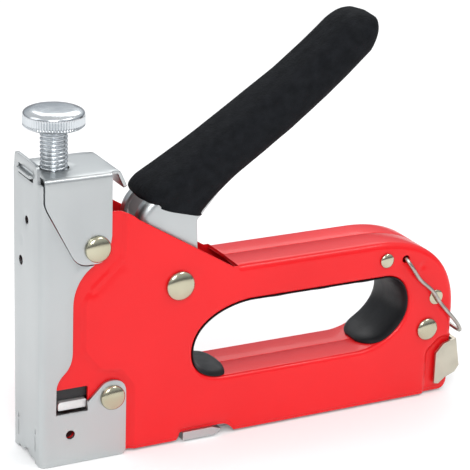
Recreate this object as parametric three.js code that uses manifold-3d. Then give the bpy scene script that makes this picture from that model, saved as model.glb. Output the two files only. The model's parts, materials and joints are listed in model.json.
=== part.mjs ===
// Hand staple gun (tacker) as separate pieces, in millimetres, +Z up.
// The nose points along -X, the rear of the handle along +X, the near side along -Y.
// Lengths along X are counted from the front face of the nose, and the finished group is
// moved so that X = 0 is the axis of the adjusting screw. Z = 0 is the underside of the nose.
import * as THREE from 'three';
import { mergeVertices } from 'three/addons/utils/BufferGeometryUtils.js';
import Module from 'manifold-3d';

const wasm = await Module();
wasm.setup();

// ---------------------------------------------------------------- driving dimensions
const GAP = 0.3;                 // clearance between neighbouring pieces
const RUN = 0.4;                 // clearance round a turning or sliding piece

const BODY_HALF = 13.0;          // half width of the red body
const BODY_T = 1.2;              // its sheet thickness
const BODY_FRONT = 2.4;          // front edge of the body sheets, inside the nose
const BODY_REAR = 174.2;         // rear end of the body
const BODY_BOTTOM = 2.0;         // underside of the body
const BODY_NOSE_TOP = 94.5;      // top of the body at the nose
const HANDLE_TOP = 67.0;         // top of the handle bar
const SHOULDER_X = 36.0;         // where the shoulder slope starts
const SHOULDER_END_X = 76.5;     // where it meets the handle bar
const JOGGLE = 1.0;              // how far the sheets step in under the nose and the end cap

const LOOP_TOP = 53.0;           // finger loop: upper and lower edges, front and rear ends
const LOOP_BOTTOM = 23.6;
const LOOP_FRONT = 60.4;
const LOOP_REAR = BODY_REAR - 21;
const LINER_T = 1.7;             // thickness of the soft lining of the loop

const NOSE_T = 1.2;              // sheet thickness of the nose and its top bracket
const NOSE_DEPTH = 33.5;         // side plates of the nose, front to back
const NOSE_BEND = 2.5;           // outer radius of the nose's front bends
const BRACKET_TOP = 109.4;       // top face of the bracket
const NOSE_SHOULDER = BRACKET_TOP - 1.8;   // top of the front plate at its sides
const NOSE_TAB_TOP = BRACKET_TOP + 4.4;    // top of the tab in the middle of the front plate
const BRACKET_REAR = 27.3;       // rear edge of its side plates
const BRACKET_LIP_X = BRACKET_REAR + 3.3;  // where its top bends down at the rear
const BRACKET_BEND = 1.6;        // outer radius of its side bends, and its front edge's setback
const FRONT_HOLES = [{ y: 0, z: 91.2, r: 1.7 }, { y: 5.5, z: 74.3, r: 2.1 }, { y: 0, z: 0.4, r: 2.6 }];
const SLIT = { y: 8.1, half: 0.3, z0: 4.7, z1: 11.6 };   // two slits above the foot
const SIDE_HOLE = { x: 11.6, z: 11.6, r: 1.75 };
const WINDOW = { x0: 6.6, x1: 19.0, z0: 17.5, z1: 29.2 }; // opening in the body sheet, low in the nose
const CATCH = { x0: 57.0, x1: 73.0, top: 6.6 };           // magazine catch, between its ends
const CATCH_NOTCH = { x0: CATCH.x0 - 2.8, x1: CATCH.x1 + 2.8, top: 4.6 };
const BRACKET_LIP_DROP = 7.2;
const BRACKET_LIP_RUN = 3.2;

const SCREW_X = 10.6;            // axis of the adjusting screw, behind the nose's front
const SCREW_R = 5.0;
const SCREW_FOOT = BRACKET_TOP - 10.4;     // lower end of the screw
const KNOB_BOTTOM = BRACKET_TOP + 15;
const KNOB_FLOOR = 2.4;          // metal above the knob's socket
const NUT_R = SCREW_R + 3;       // threaded boss under the bracket
const NUT_H = 7.5;
const KNOB_H = 6.8;
const KNOB_R = 11.0;
const SEAT_R = 7.4;              // washer between the screw's foot and the main spring
const SEAT_T = 2.0;

const SPRING_R = 6.0;            // main spring: middle radius, wire radius, turns
const SPRING_WIRE_R = 0.8;
const SPRING_TURNS = 5;

const BLADE_T = 1.3;             // striker blade
const BLADE_HALF = 5.4;
const BLADE_TIP = 0.8;
const CARRIER_BOTTOM = 46.0;     // striker carrier
const CARRIER_TOP = 64.2;
const CARRIER_REAR = 18.0;
const CARRIER_HALF = 7.0;
const LIFT_PIN_R = 2.0;
const BUMPER_H = 7.0;            // from the carrier's foot down to the bumper's foot
const NOSE_BAR_TOP = 24.2;

const PIVOT_X = 54.6;            // lever pivot
const PIVOT_Z = 63.0;
const PIVOT_R = 3.0;
const BUSH_R = PIVOT_R + 1.8;
const LEVER_HALF = 10.0;         // half width and sheet thickness of the lever frame
const LEVER_T = 1.5;
const ARM_TILT = 12.5;           // droop of the lifting arms at rest, degrees
const ARM_REACH = 43.5;
const ARM_HALF = 3.5;
const GRIP_HALF = 12.5;          // half width of the foam grip
const GRIP_ROUND = 2.5;          // radius of its long edges

const CHANNEL_HALF = 6.95;       // magazine channel: half width, sheet, floor, height, ends
const CHANNEL_T = 1.0;
const CHANNEL_Z = 0.0;
const CHANNEL_H = 17.0;
const CHANNEL_FRONT = 3.4;
const CHANNEL_REAR = BODY_REAR + 0.4;
const CORE_HALF = 4.4;           // core rail that the staples straddle
const CORE_T = 0.9;
const CORE_TOP = 13.6;
const CAP_T = 1.2;               // end cap of the magazine

const RIVETS = {
  upper_nose_rivet: { x: BRACKET_REAR - 5.5, z: 81.8, shank: 2.4, head: 4.9, dome: 2.3, on: 'nose' },
  lower_nose_rivet: { x: NOSE_DEPTH - 5.4, z: 23.6, shank: 2.3, head: 4.7, dome: 2.2, on: 'nose' },
  lever_pivot_rivet: { x: PIVOT_X, z: PIVOT_Z, shank: PIVOT_R, head: PIVOT_R + 2.6, dome: 2.5, on: 'body' },
  rear_upper_rivet: { x: BODY_REAR - 32.1, z: HANDLE_TOP - 7, shank: 1.6, head: 2.9, dome: 1.4, on: 'body' },
  rear_lower_rivet: { x: BODY_REAR - 12, z: LOOP_BOTTOM + 5.1, shank: 2.2, head: 4.5, dome: 2.0, on: 'body' },
  bail_stop_pin: { x: BODY_REAR - 8.7, z: LOOP_BOTTOM + 18, shank: 1.6, head: 3.0, dome: 0.7, on: 'body' },
};
const HEAD_STAND = 0.15;         // how far a rivet's head stands off the sheet
const BAIL_HOLE = { x: BODY_REAR - 23.4, z: HANDLE_TOP - 7.7, r: 1.6 };
const BAIL_WIRE_R = 0.75;
const BAIL_END = { x: BODY_REAR + 3.4, z: LOOP_BOTTOM + 2.4 };
const GUIDE_T = 1.4;             // striker guide plate
const ROD_Z = 6.2;               // pusher rod: level and radius
const ROD_R = 1.1;

// derived levels
const NOSE_OUT = BODY_HALF - JOGGLE + GAP + NOSE_T;   // outer face of the nose's side plates
const NOSE_IN = NOSE_OUT - NOSE_T;
const NOSE_TAB_HALF = NOSE_OUT - 2.5;
const TONGUE_HALF = 6.4;                              // bracket's tongue through the front plate
const STEP_IN = BODY_HALF - JOGGLE - BODY_T;          // inner face of the sheets within the nose
const SHEET_IN = BODY_HALF - BODY_T;                  // and elsewhere
const SEAM_HALF = GAP / 2;                            // each body sheet stops this far from Y = 0
const SPRING_TOP = SCREW_FOOT - GAP - SEAT_T;         // underside of the washer
const BLADE_FRONT = NOSE_T + RUN;
const GUIDE_FRONT = BLADE_FRONT + BLADE_T + GAP;
const BACKING_FRONT = GUIDE_FRONT + GUIDE_T + GAP;    // pieces behind the striker guide
const OUTSIDE = BODY_HALF + 5;                        // clear of the body's widest point

// ---------------------------------------------------------------- materials
const paint = () => new THREE.MeshStandardMaterial({ color: 0xe8262f, roughness: 0.25, metalness: 0.0 });
const chrome = () => new THREE.MeshStandardMaterial({ color: 0xc9cccd, roughness: 0.25, metalness: 1.0 });
const nickel = () => new THREE.MeshStandardMaterial({ color: 0xd0cbb8, roughness: 0.2, metalness: 1.0 });
const steel = () => new THREE.MeshStandardMaterial({ color: 0x9a9da0, roughness: 0.4, metalness: 1.0 });
const foam = () => new THREE.MeshStandardMaterial({ color: 0x1e2023, roughness: 0.9, metalness: 0.0 });
const rubber = () => new THREE.MeshStandardMaterial({ color: 0x16171a, roughness: 0.6, metalness: 0.0 });
const plastic = () => new THREE.MeshStandardMaterial({ color: 0x121315, roughness: 0.45, metalness: 0.0 });

// ---------------------------------------------------------------- solids
function solid(geometry) {
  const plain = geometry.index ? geometry.toNonIndexed() : geometry;
  plain.deleteAttribute('normal');
  plain.deleteAttribute('uv');
  const merged = mergeVertices(plain, 1e-4);
  const vertProperties = new Float32Array(merged.attributes.position.array);
  const triVerts = new Uint32Array(merged.index.array);
  return new wasm.Manifold(new wasm.Mesh({ numProp: 3, vertProperties, triVerts }));
}

function geometryOf(body) {
  const mesh = body.getMesh();
  const geometry = new THREE.BufferGeometry();
  geometry.setAttribute('position', new THREE.BufferAttribute(new Float32Array(mesh.vertProperties), 3));
  geometry.setIndex(new THREE.BufferAttribute(new Uint32Array(mesh.triVerts), 1));
  geometry.computeVertexNormals();
  return geometry;
}

// Upright plate: an outline in (x, z) between two Y levels.
function plate(shape, y0, y1, divisions = 8) {
  const geometry = new THREE.ExtrudeGeometry(shape, {
    depth: y1 - y0,
    bevelEnabled: false,
    curveSegments: divisions,
  });
  geometry.rotateX(Math.PI / 2);
  geometry.translate(0, y1, 0);
  return solid(geometry);
}

function polygon(points) {
  return new THREE.Shape(points.map(([x, z]) => new THREE.Vector2(x, z)));
}

function box(x0, x1, y0, y1, z0, z1) {
  const geometry = new THREE.BoxGeometry(x1 - x0, y1 - y0, z1 - z0);
  geometry.translate((x0 + x1) / 2, (y0 + y1) / 2, (z0 + z1) / 2);
  return solid(geometry);
}

// Turned piece: profile of [radius, height] pairs, closed on the axis, along +Z.
function turned(profile, segments = 32) {
  const points = profile.map(([r, h]) => new THREE.Vector2(r, h));
  const geometry = new THREE.LatheGeometry(points, segments);
  geometry.rotateX(Math.PI / 2);
  return geometry;
}

function rod(r, z0, z1, segments = 24) {
  return solid(turned([[0, z0], [r, z0], [r, z1], [0, z1]], segments));
}

// Round bar or hole across the body, along Y.
function crossBar(r, x, z, y0, y1, segments = 24) {
  const geometry = new THREE.CylinderGeometry(r, r, y1 - y0, segments);
  geometry.translate(x, (y0 + y1) / 2, z);
  return solid(geometry);
}

function ring(rIn, rOut, x, z, y0, y1, segments = 24) {
  return crossBar(rOut, x, z, y0, y1, segments)
    .subtract(crossBar(rIn, x, z, y0 - 1, y1 + 1, segments));
}

// Mirror image across Y = 0.
function mirrored(body) {
  return body.mirror([0, 1, 0]);
}

// Coil along Z round the given axis, as a swept wire.
function coil(radius, wire, turns, z0, z1, stepsPerTurn = 12) {
  class Helix extends THREE.Curve {
    getPoint(t, target = new THREE.Vector3()) {
      const angle = 2 * Math.PI * turns * t;
      return target.set(radius * Math.cos(angle), radius * Math.sin(angle), z0 + (z1 - z0) * t);
    }
  }
  return sweep(new Helix(), wire, Math.round(turns * stepsPerTurn), 6);
}

// Round wire along a curve, with closed ends.
function sweep(curve, wire, steps, sides) {
  const section = new THREE.Shape();
  for (let i = 0; i < sides; i += 1) {
    const angle = (2 * Math.PI * i) / sides;
    const place = i === 0 ? 'moveTo' : 'lineTo';
    section[place](wire * Math.cos(angle), wire * Math.sin(angle));
  }
  section.closePath();
  return new THREE.ExtrudeGeometry(section, { steps, extrudePath: curve, bevelEnabled: false });
}

// Outline moved by a distance to the left of its direction (inwards when counter-clockwise).
function offset(points, distance) {
  const count = points.length;
  return points.map((point, i) => {
    const before = points[(i + count - 1) % count];
    const after = points[(i + 1) % count];
    const a = point.clone().sub(before).normalize();
    const b = after.clone().sub(point).normalize();
    const normal = new THREE.Vector2(-a.y - b.y, a.x + b.x).normalize();
    const cosHalf = Math.max(0.35, normal.x * -a.y + normal.y * a.x);
    return point.clone().addScaledVector(normal, distance / cosHalf);
  });
}

// Closed body from an outline, from -half to +half in Y, with rounded long edges.
function roundedPlate(outline, half, radius, steps = 3) {
  const rings = [];
  for (let i = 0; i <= steps; i += 1) {
    const angle = (i / steps) * (Math.PI / 2);
    const ring = offset(outline, radius * (1 - Math.sin(angle)));
    rings.push(ring.map((p) => [p.x, -half + radius * (1 - Math.cos(angle)), p.y]));
  }
  const opposite = rings.map((ring) => ring.map(([x, y, z]) => [x, -y, z])).reverse();
  const all = rings.concat(opposite);
  const count = outline.length;
  const index = [];
  for (let k = 0; k + 1 < all.length; k += 1) {
    for (let i = 0; i < count; i += 1) {
      const j = (i + 1) % count;
      const [a, b, c, d] = [k * count + i, k * count + j, (k + 1) * count + j, (k + 1) * count + i];
      index.push(a, c, b, a, d, c);
    }
  }
  const last = (all.length - 1) * count;
  THREE.ShapeUtils.triangulateShape(outline, []).forEach(([a, b, c]) => {
    index.push(a, b, c);
    index.push(last + a, last + c, last + b);
  });
  const geometry = new THREE.BufferGeometry();
  geometry.setAttribute('position', new THREE.Float32BufferAttribute(all.flat(2), 3));
  geometry.setIndex(index);
  return geometry;
}

function sampled(shape, divisions = 8) {
  const points = shape.getPoints(divisions);
  return points.filter((p, i) => p.distanceTo(points[(i + 1) % points.length]) > 1e-3);
}

// ---------------------------------------------------------------- outlines in (x, z)
// Side outline of the body, counter-clockwise from its front foot.
function bodyOutline() {
  const shape = new THREE.Shape();
  shape.moveTo(BODY_FRONT, BODY_BOTTOM);
  shape.lineTo(BODY_REAR - 4, BODY_BOTTOM);
  shape.quadraticCurveTo(BODY_REAR, BODY_BOTTOM, BODY_REAR, BODY_BOTTOM + 5);
  shape.lineTo(BODY_REAR, HANDLE_TOP - 31);
  shape.bezierCurveTo(BODY_REAR, HANDLE_TOP - 12.5, BODY_REAR - 12.5, HANDLE_TOP, BODY_REAR - 37, HANDLE_TOP);
  shape.lineTo(SHOULDER_END_X, HANDLE_TOP);
  shape.lineTo(SHOULDER_X + 2, BODY_NOSE_TOP - 4.2);
  shape.quadraticCurveTo(SHOULDER_X - 2.5, BODY_NOSE_TOP, SHOULDER_X - 7, BODY_NOSE_TOP);
  shape.lineTo(BODY_FRONT, BODY_NOSE_TOP);
  shape.closePath();
  return sampled(shape);
}

// Finger loop, counter-clockwise from the front of its lower edge.
function loopOutline() {
  const shape = new THREE.Shape();
  shape.moveTo(LOOP_FRONT + 14, LOOP_BOTTOM);
  shape.lineTo(LOOP_REAR - 22, LOOP_BOTTOM);
  shape.bezierCurveTo(LOOP_REAR - 11, LOOP_BOTTOM, LOOP_REAR, LOOP_BOTTOM + 8, LOOP_REAR, LOOP_BOTTOM + 17);
  shape.bezierCurveTo(LOOP_REAR, LOOP_TOP - 5, LOOP_REAR - 4, LOOP_TOP, LOOP_REAR - 11, LOOP_TOP);
  shape.lineTo(LOOP_FRONT + 24, LOOP_TOP);
  shape.bezierCurveTo(LOOP_FRONT + 12, LOOP_TOP - 0.8, LOOP_FRONT, LOOP_TOP - 7, LOOP_FRONT, LOOP_TOP - 18);
  shape.bezierCurveTo(LOOP_FRONT, LOOP_BOTTOM + 5, LOOP_FRONT + 4, LOOP_BOTTOM, LOOP_FRONT + 14, LOOP_BOTTOM);
  return sampled(shape);
}

// Area behind the nose's side plates where the body sheet steps in.
function noseRecess() {
  const low = RIVETS.lower_nose_rivet;
  const high = RIVETS.upper_nose_rivet;
  const waist = WINDOW.x1 - 1.5;
  const top = BODY_NOSE_TOP + 5.5;
  return [
    [-5, -5], [low.x + 8.4, -5], [low.x + 8.4, low.z + 3.4], [low.x + 3.4, low.z + 9.9],
    [low.x - 4.6, low.z + 10.4], [waist, low.z + 18.4], [waist, high.z - 19.8],
    [waist + 2, high.z - 15.3], [high.x + 11.2, high.z - 1.8], [high.x + 11.2, top], [-5, top],
  ].map(([x, z]) => new THREE.Vector2(x, z));
}

// The same at the rear foot, for the end cap's side flanges.
function capRecess() {
  const front = BODY_REAR - 9.7;
  const rear = BODY_REAR + 5.8;
  const top = LOOP_BOTTOM + 0.9;
  return [
    [front, -5], [rear, -5], [rear, top], [front + 4.5, top], [front, top - 4.5],
  ].map(([x, z]) => new THREE.Vector2(x, z));
}

// Side plate of the top bracket: down to a rounded lobe round the upper rivet.
function bracketSide(clearance) {
  const c = clearance;
  const { x, z } = RIVETS.upper_nose_rivet;
  const front = BRACKET_BEND - c;
  const foot = z - 5.6 - c;
  const under = BRACKET_TOP - 1;
  const shape = new THREE.Shape();
  shape.moveTo(front, under);
  shape.lineTo(front, z + 19.2);
  shape.quadraticCurveTo(front + 0.2, z + 17.8, front + 1, z + 16.2);
  shape.lineTo(x - 9.8 - c, z - 1.6);
  shape.quadraticCurveTo(x - 7.6 - c, foot + 0.1, x - 3.6, foot);
  shape.lineTo(x - 0.3, foot);
  shape.quadraticCurveTo(x + 4.4 + c, foot + 0.2, x + 4.9 + c, z + 0.2);
  shape.lineTo(BRACKET_REAR + c, z + 4.2);
  shape.lineTo(BRACKET_REAR + c, under);
  shape.closePath();
  return shape;
}

// Side plate of the nose, up to the bracket, with the low ear round the lower rivet.
function noseSide() {
  const ear = RIVETS.lower_nose_rivet;
  const lobe = RIVETS.upper_nose_rivet;
  const sill = { x0: WINDOW.x0 - 0.6, x1: WINDOW.x1 - 0.6, z: WINDOW.z0 + 2.5 };
  const waist = sill.x0 + 6.4;
  const shape = new THREE.Shape();
  shape.moveTo(0, 0);
  shape.lineTo(NOSE_DEPTH - 1.6, 0);
  shape.lineTo(NOSE_DEPTH, 1.8);
  shape.lineTo(NOSE_DEPTH, ear.z + 0.9);
  shape.quadraticCurveTo(NOSE_DEPTH, ear.z + 6.3, ear.x, ear.z + 6.6);
  shape.quadraticCurveTo(ear.x - 2.5, ear.z + 6.6, ear.x - 4, ear.z + 5.3);
  shape.lineTo(sill.x1, sill.z + 3.3);
  shape.lineTo(sill.x1, sill.z);
  shape.lineTo(sill.x0, sill.z);
  shape.lineTo(sill.x0 + 0.2, WINDOW.z1 + 1.5);
  shape.quadraticCurveTo(sill.x0 + 0.6, WINDOW.z1 + 4.2, sill.x0 + 3.2, WINDOW.z1 + 6.6);
  shape.quadraticCurveTo(waist, WINDOW.z1 + 9.4, waist, WINDOW.z1 + 14.8);
  shape.lineTo(waist + 0.1, lobe.z - 20.8);
  shape.quadraticCurveTo(waist + 0.2, lobe.z - 13.4, lobe.x - 4.4, lobe.z - 8.4);
  shape.quadraticCurveTo(lobe.x - 1.8, lobe.z - 6, lobe.x + 3.8, lobe.z - 3.2);
  shape.lineTo(NOSE_BEND, NOSE_SHOULDER);
  shape.lineTo(0, NOSE_SHOULDER);
  shape.closePath();
  return shape;
}

// ---------------------------------------------------------------- holes through the body
function crossHole(name, clearance = GAP) {
  const { x, z, shank } = RIVETS[name];
  return crossBar(shank + clearance, x, z, -OUTSIDE, OUTSIDE);
}

function drilled(body, names) {
  return names.reduce((cut, name) => cut.subtract(crossHole(name)), body);
}

// ---------------------------------------------------------------- body
// Near-side sheet: side plate with inward flanges along the top, the rear and the loop.
function bodyShell() {
  const outline = bodyOutline();
  const loop = loopOutline();
  const recesses = [noseRecess(), capRecess()];
  const shape = (points) => new THREE.Shape(points);
  let outer = plate(shape(outline), -BODY_HALF, -SEAM_HALF);
  let cavity = plate(shape(offset(outline, BODY_T)), -BODY_HALF + BODY_T, 2)
    .add(box(-5, BODY_REAR - 8, -BODY_HALF + BODY_T, 2, -2, BODY_BOTTOM + BODY_T + 1))
    .add(box(BODY_REAR - 9, BODY_REAR + 5, -BODY_HALF + BODY_T, 2, -2, LOOP_BOTTOM + 0.4))
    .add(box(-5, BODY_FRONT + BODY_T + 1, -BODY_HALF + BODY_T, 2, -2, BODY_NOSE_TOP + 5))
    .add(box(-5, SHOULDER_END_X + 0.8, -BODY_HALF + BODY_T, 2, HANDLE_TOP - 3, BODY_NOSE_TOP + 5));
  recesses.forEach((recess) => {
    outer = outer.subtract(plate(shape(recess), -BODY_HALF - 1, -BODY_HALF + JOGGLE));
    const backing = plate(shape(offset(recess, -BODY_T)), -BODY_HALF, -BODY_HALF + BODY_T + JOGGLE);
    cavity = cavity.subtract(backing);
  });
  const shell = outer.subtract(cavity)
    .add(plate(shape(offset(loop, -BODY_T)), -BODY_HALF, -SEAM_HALF))
    .subtract(plate(shape(loop), -BODY_HALF - 1, 2))
    .subtract(box(WINDOW.x0, WINDOW.x1, -OUTSIDE, -STEP_IN + 2, WINDOW.z0, WINDOW.z1))
    .subtract(box(CATCH_NOTCH.x0, CATCH_NOTCH.x1, -OUTSIDE, -STEP_IN + 2, 0, CATCH_NOTCH.top))
    .subtract(crossBar(BAIL_HOLE.r, BAIL_HOLE.x, BAIL_HOLE.z, -OUTSIDE, -STEP_IN + 2))
    .subtract(crossBar(SIDE_HOLE.r + GAP, SIDE_HOLE.x, SIDE_HOLE.z, -OUTSIDE, -STEP_IN + 2, 20));
  return drilled(shell, Object.keys(RIVETS));
}

// ---------------------------------------------------------------- nose
function frontHousing() {
  const side = plate(noseSide(), NOSE_IN, NOSE_OUT);
  const front = solid(new THREE.BoxGeometry(NOSE_T, 2 * NOSE_OUT, NOSE_SHOULDER)
    .translate(NOSE_T / 2, 0, NOSE_SHOULDER / 2));
  const tab = box(0, NOSE_T, -NOSE_TAB_HALF, NOSE_TAB_HALF, NOSE_SHOULDER - 2, NOSE_TAB_TOP);
  const bracket = plate(bracketSide(GAP), -OUTSIDE, OUTSIDE);
  const slot = box(-1, NOSE_T + 1, -TONGUE_HALF - 0.6, TONGUE_HALF + 0.6,
    BRACKET_TOP - NOSE_T - 1.4, BRACKET_TOP + 1.2);
  const slit = box(-1, NOSE_T + 1, SLIT.y - SLIT.half, SLIT.y + SLIT.half, SLIT.z0, SLIT.z1);
  let body = side.add(mirrored(side)).subtract(bracket).add(front).add(tab)
    .subtract(cornerRounds())
    .subtract(slot)
    .subtract(slit)
    .subtract(mirrored(slit))
    .subtract(crossBar(SIDE_HOLE.r, SIDE_HOLE.x, SIDE_HOLE.z, -OUTSIDE, OUTSIDE, 20));
  FRONT_HOLES.forEach(({ y, z, r }) => {
    body = body.subtract(frontHole(y, z, r));
  });
  return drilled(body, ['upper_nose_rivet', 'lower_nose_rivet']);
}

// Round hole through the front plate.
function frontHole(y, z, r) {
  const geometry = new THREE.CylinderGeometry(r, r, 6, 20);
  geometry.rotateZ(Math.PI / 2);
  geometry.translate(0, y, z);
  return solid(geometry);
}

// What the outer radius takes off the two front corners of the nose.
function cornerRounds() {
  const corner = (sign) => {
    const block = box(-1, NOSE_BEND, NOSE_OUT - NOSE_BEND, NOSE_OUT + 1, -1, NOSE_SHOULDER + 1);
    const round = rod(NOSE_BEND, -2, NOSE_SHOULDER + 2, 32)
      .translate([NOSE_BEND, NOSE_OUT - NOSE_BEND, 0]);
    const cut = block.subtract(round);
    return sign > 0 ? cut : mirrored(cut);
  };
  return corner(1).add(corner(-1));
}

function topBracket() {
  const section = new THREE.Shape();
  section.moveTo(-NOSE_OUT, -40);
  section.lineTo(-NOSE_IN, -40);
  section.lineTo(-NOSE_IN, -NOSE_T);
  section.lineTo(NOSE_IN, -NOSE_T);
  section.lineTo(NOSE_IN, -40);
  section.lineTo(NOSE_OUT, -40);
  section.lineTo(NOSE_OUT, -BRACKET_BEND);
  section.quadraticCurveTo(NOSE_OUT, 0, NOSE_OUT - BRACKET_BEND, 0);
  section.lineTo(-NOSE_OUT + BRACKET_BEND, 0);
  section.quadraticCurveTo(-NOSE_OUT, 0, -NOSE_OUT, -BRACKET_BEND);
  section.closePath();
  const run = new THREE.ExtrudeGeometry(section, {
    depth: BRACKET_REAR - BRACKET_BEND,
    bevelEnabled: false,
    curveSegments: 6,
  });
  run.rotateX(Math.PI / 2);
  run.rotateZ(Math.PI / 2);
  run.translate(BRACKET_BEND, 0, BRACKET_TOP);
  const lobes = plate(bracketSide(0), -OUTSIDE, OUTSIDE);
  const roof = box(0, BRACKET_REAR + 1, -NOSE_OUT - 1, NOSE_OUT + 1, BRACKET_TOP - 2.5, BRACKET_TOP + 1);
  const cap = solid(run).intersect(lobes.add(roof));
  const lipShape = polygon([
    [BRACKET_REAR - 1, BRACKET_TOP - NOSE_T],
    [BRACKET_LIP_X - 0.6, BRACKET_TOP - NOSE_T],
    [BRACKET_LIP_X + BRACKET_LIP_RUN - NOSE_T, BRACKET_TOP - BRACKET_LIP_DROP],
    [BRACKET_LIP_X + BRACKET_LIP_RUN, BRACKET_TOP - BRACKET_LIP_DROP + 0.4],
    [BRACKET_LIP_X + 0.6, BRACKET_TOP - 0.5],
    [BRACKET_LIP_X, BRACKET_TOP],
    [BRACKET_REAR - 1, BRACKET_TOP],
  ]);
  const lipHalf = NOSE_OUT - BRACKET_BEND - 0.2;
  const lip = plate(lipShape, -lipHalf, lipHalf);
  const tongue = box(-NOSE_T, BRACKET_BEND + 0.4, -TONGUE_HALF, TONGUE_HALF,
    BRACKET_TOP - NOSE_T, BRACKET_TOP);
  const hole = rod(SCREW_R + RUN, BRACKET_TOP - 5, BRACKET_TOP + 5).translate([SCREW_X, 0, 0]);
  return drilled(cap.add(lip).add(tongue).subtract(hole), ['upper_nose_rivet']);
}

// Threaded boss under the bracket that the adjusting screw runs in.
function screwNut() {
  const top = BRACKET_TOP - NOSE_T - GAP;
  const outer = rod(NUT_R, top - NUT_H, top, 6).translate([SCREW_X + 0.2, 0, 0]);
  return outer.subtract(rod(SCREW_R + RUN, 0, 200).translate([SCREW_X, 0, 0]));
}

function adjustingScrew() {
  const top = KNOB_BOTTOM + KNOB_H - KNOB_FLOOR;
  return solid(turned([
    [0, SCREW_FOOT], [SCREW_R - 1.2, SCREW_FOOT], [SCREW_R, SCREW_FOOT + 1.2],
    [SCREW_R, top], [0, top],
  ], 32)).translate([SCREW_X, 0, 0]);
}

// Round knob with a cupped underside; its socket takes the end of the screw.
function adjustingKnob() {
  const b = KNOB_BOTTOM;
  const outer = solid(turned([
    [0, b], [KNOB_R - 1.2, b], [KNOB_R, b + 1.0], [KNOB_R, b + 4.0],
    [KNOB_R - 0.7, b + 5.4], [KNOB_R - 2.4, b + 6.3], [KNOB_R - 5, b + KNOB_H], [0, b + KNOB_H],
  ], 40));
  const socket = rod(SCREW_R + GAP, b - 1, b + KNOB_H - KNOB_FLOOR + GAP);
  return outer.subtract(socket).translate([SCREW_X, 0, 0]);
}

function seatWasher() {
  return rod(SEAT_R, SPRING_TOP, SPRING_TOP + SEAT_T, 28).translate([SCREW_X, 0, 0]);
}

function mainSpring() {
  const z0 = CARRIER_TOP + GAP + SPRING_WIRE_R + 0.1;
  const z1 = SPRING_TOP - GAP - SPRING_WIRE_R - 0.1;
  return coil(SPRING_R, SPRING_WIRE_R, SPRING_TURNS, z0, z1).translate(SCREW_X, 0, 0);
}

// ---------------------------------------------------------------- striker
function strikerBlade() {
  return box(BLADE_FRONT, BLADE_FRONT + BLADE_T, -BLADE_HALF, BLADE_HALF, BLADE_TIP, CARRIER_TOP - 2);
}

function liftPinPlace() {
  const x = CARRIER_REAR - 3.5;
  const arm = THREE.MathUtils.degToRad(ARM_TILT);
  const armTop = PIVOT_Z - (PIVOT_X - x) * Math.tan(arm) + ARM_HALF / Math.cos(arm);
  return { x, z: armTop + RUN + LIFT_PIN_R };
}

function strikerCarrier() {
  const pin = liftPinPlace();
  return box(GUIDE_FRONT, CARRIER_REAR, -CARRIER_HALF, CARRIER_HALF, CARRIER_BOTTOM, CARRIER_TOP)
    .subtract(crossBar(LIFT_PIN_R + GAP, pin.x, pin.z, -20, 20, 20));
}

function liftPin() {
  const pin = liftPinPlace();
  return crossBar(LIFT_PIN_R, pin.x, pin.z, -LEVER_HALF, LEVER_HALF, 20);
}

// Plate behind the blade that the blade slides on.
function strikerGuide() {
  const half = STEP_IN - RUN;
  return box(GUIDE_FRONT, GUIDE_FRONT + GUIDE_T, -half, half, CHANNEL_H + 1, CARRIER_BOTTOM - 6);
}

// Rubber stop under the carrier.
function strikerBumper() {
  const foot = CARRIER_BOTTOM - BUMPER_H;
  return box(BACKING_FRONT, CARRIER_REAR, -CARRIER_HALF, CARRIER_HALF, foot, CARRIER_BOTTOM - GAP);
}

// Black block and steel bar seen through the window in the side.
function guideBlock() {
  const half = STEP_IN - RUN;
  const top = CARRIER_BOTTOM - BUMPER_H - GAP;
  return box(BACKING_FRONT, CARRIER_REAR + 1.5, -half, half, NOSE_BAR_TOP + GAP, top);
}

function noseBar() {
  const half = STEP_IN - 0.2;
  return box(BACKING_FRONT, CARRIER_REAR, -half, half, CHANNEL_H + 2 * GAP, NOSE_BAR_TOP);
}

// ---------------------------------------------------------------- lever
// Place in the side view counted from the lever's pivot.
function pivoted(dx, dz) {
  return [PIVOT_X + dx, PIVOT_Z + dz];
}

// Upper part of the lever frame in the side view, counter-clockwise.
function leverOutline() {
  const shape = new THREE.Shape();
  shape.moveTo(...pivoted(7.8, 23));
  shape.quadraticCurveTo(...pivoted(13.4, 29.5), ...pivoted(19.9, 36.8));
  shape.quadraticCurveTo(...pivoted(27.4, 43), ...pivoted(37.4, 48.8));
  shape.lineTo(...pivoted(58.4, 65));
  shape.quadraticCurveTo(...pivoted(70.4, 75.5), ...pivoted(76.4, 82));
  shape.quadraticCurveTo(...pivoted(78.9, 86), ...pivoted(76.9, 89));
  shape.quadraticCurveTo(...pivoted(71.4, 90), ...pivoted(64.4, 84));
  shape.quadraticCurveTo(...pivoted(53.4, 74), ...pivoted(41.4, 65.5));
  shape.lineTo(...pivoted(9.4, 44.8));
  shape.lineTo(...pivoted(-6.6, 34.8));
  shape.quadraticCurveTo(...pivoted(-14.1, 30.5), ...pivoted(-15, 24.5));
  shape.lineTo(...pivoted(-8.6, 3));
  shape.lineTo(...pivoted(4.4, -3));
  shape.closePath();
  return sampled(shape, 6);
}

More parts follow.
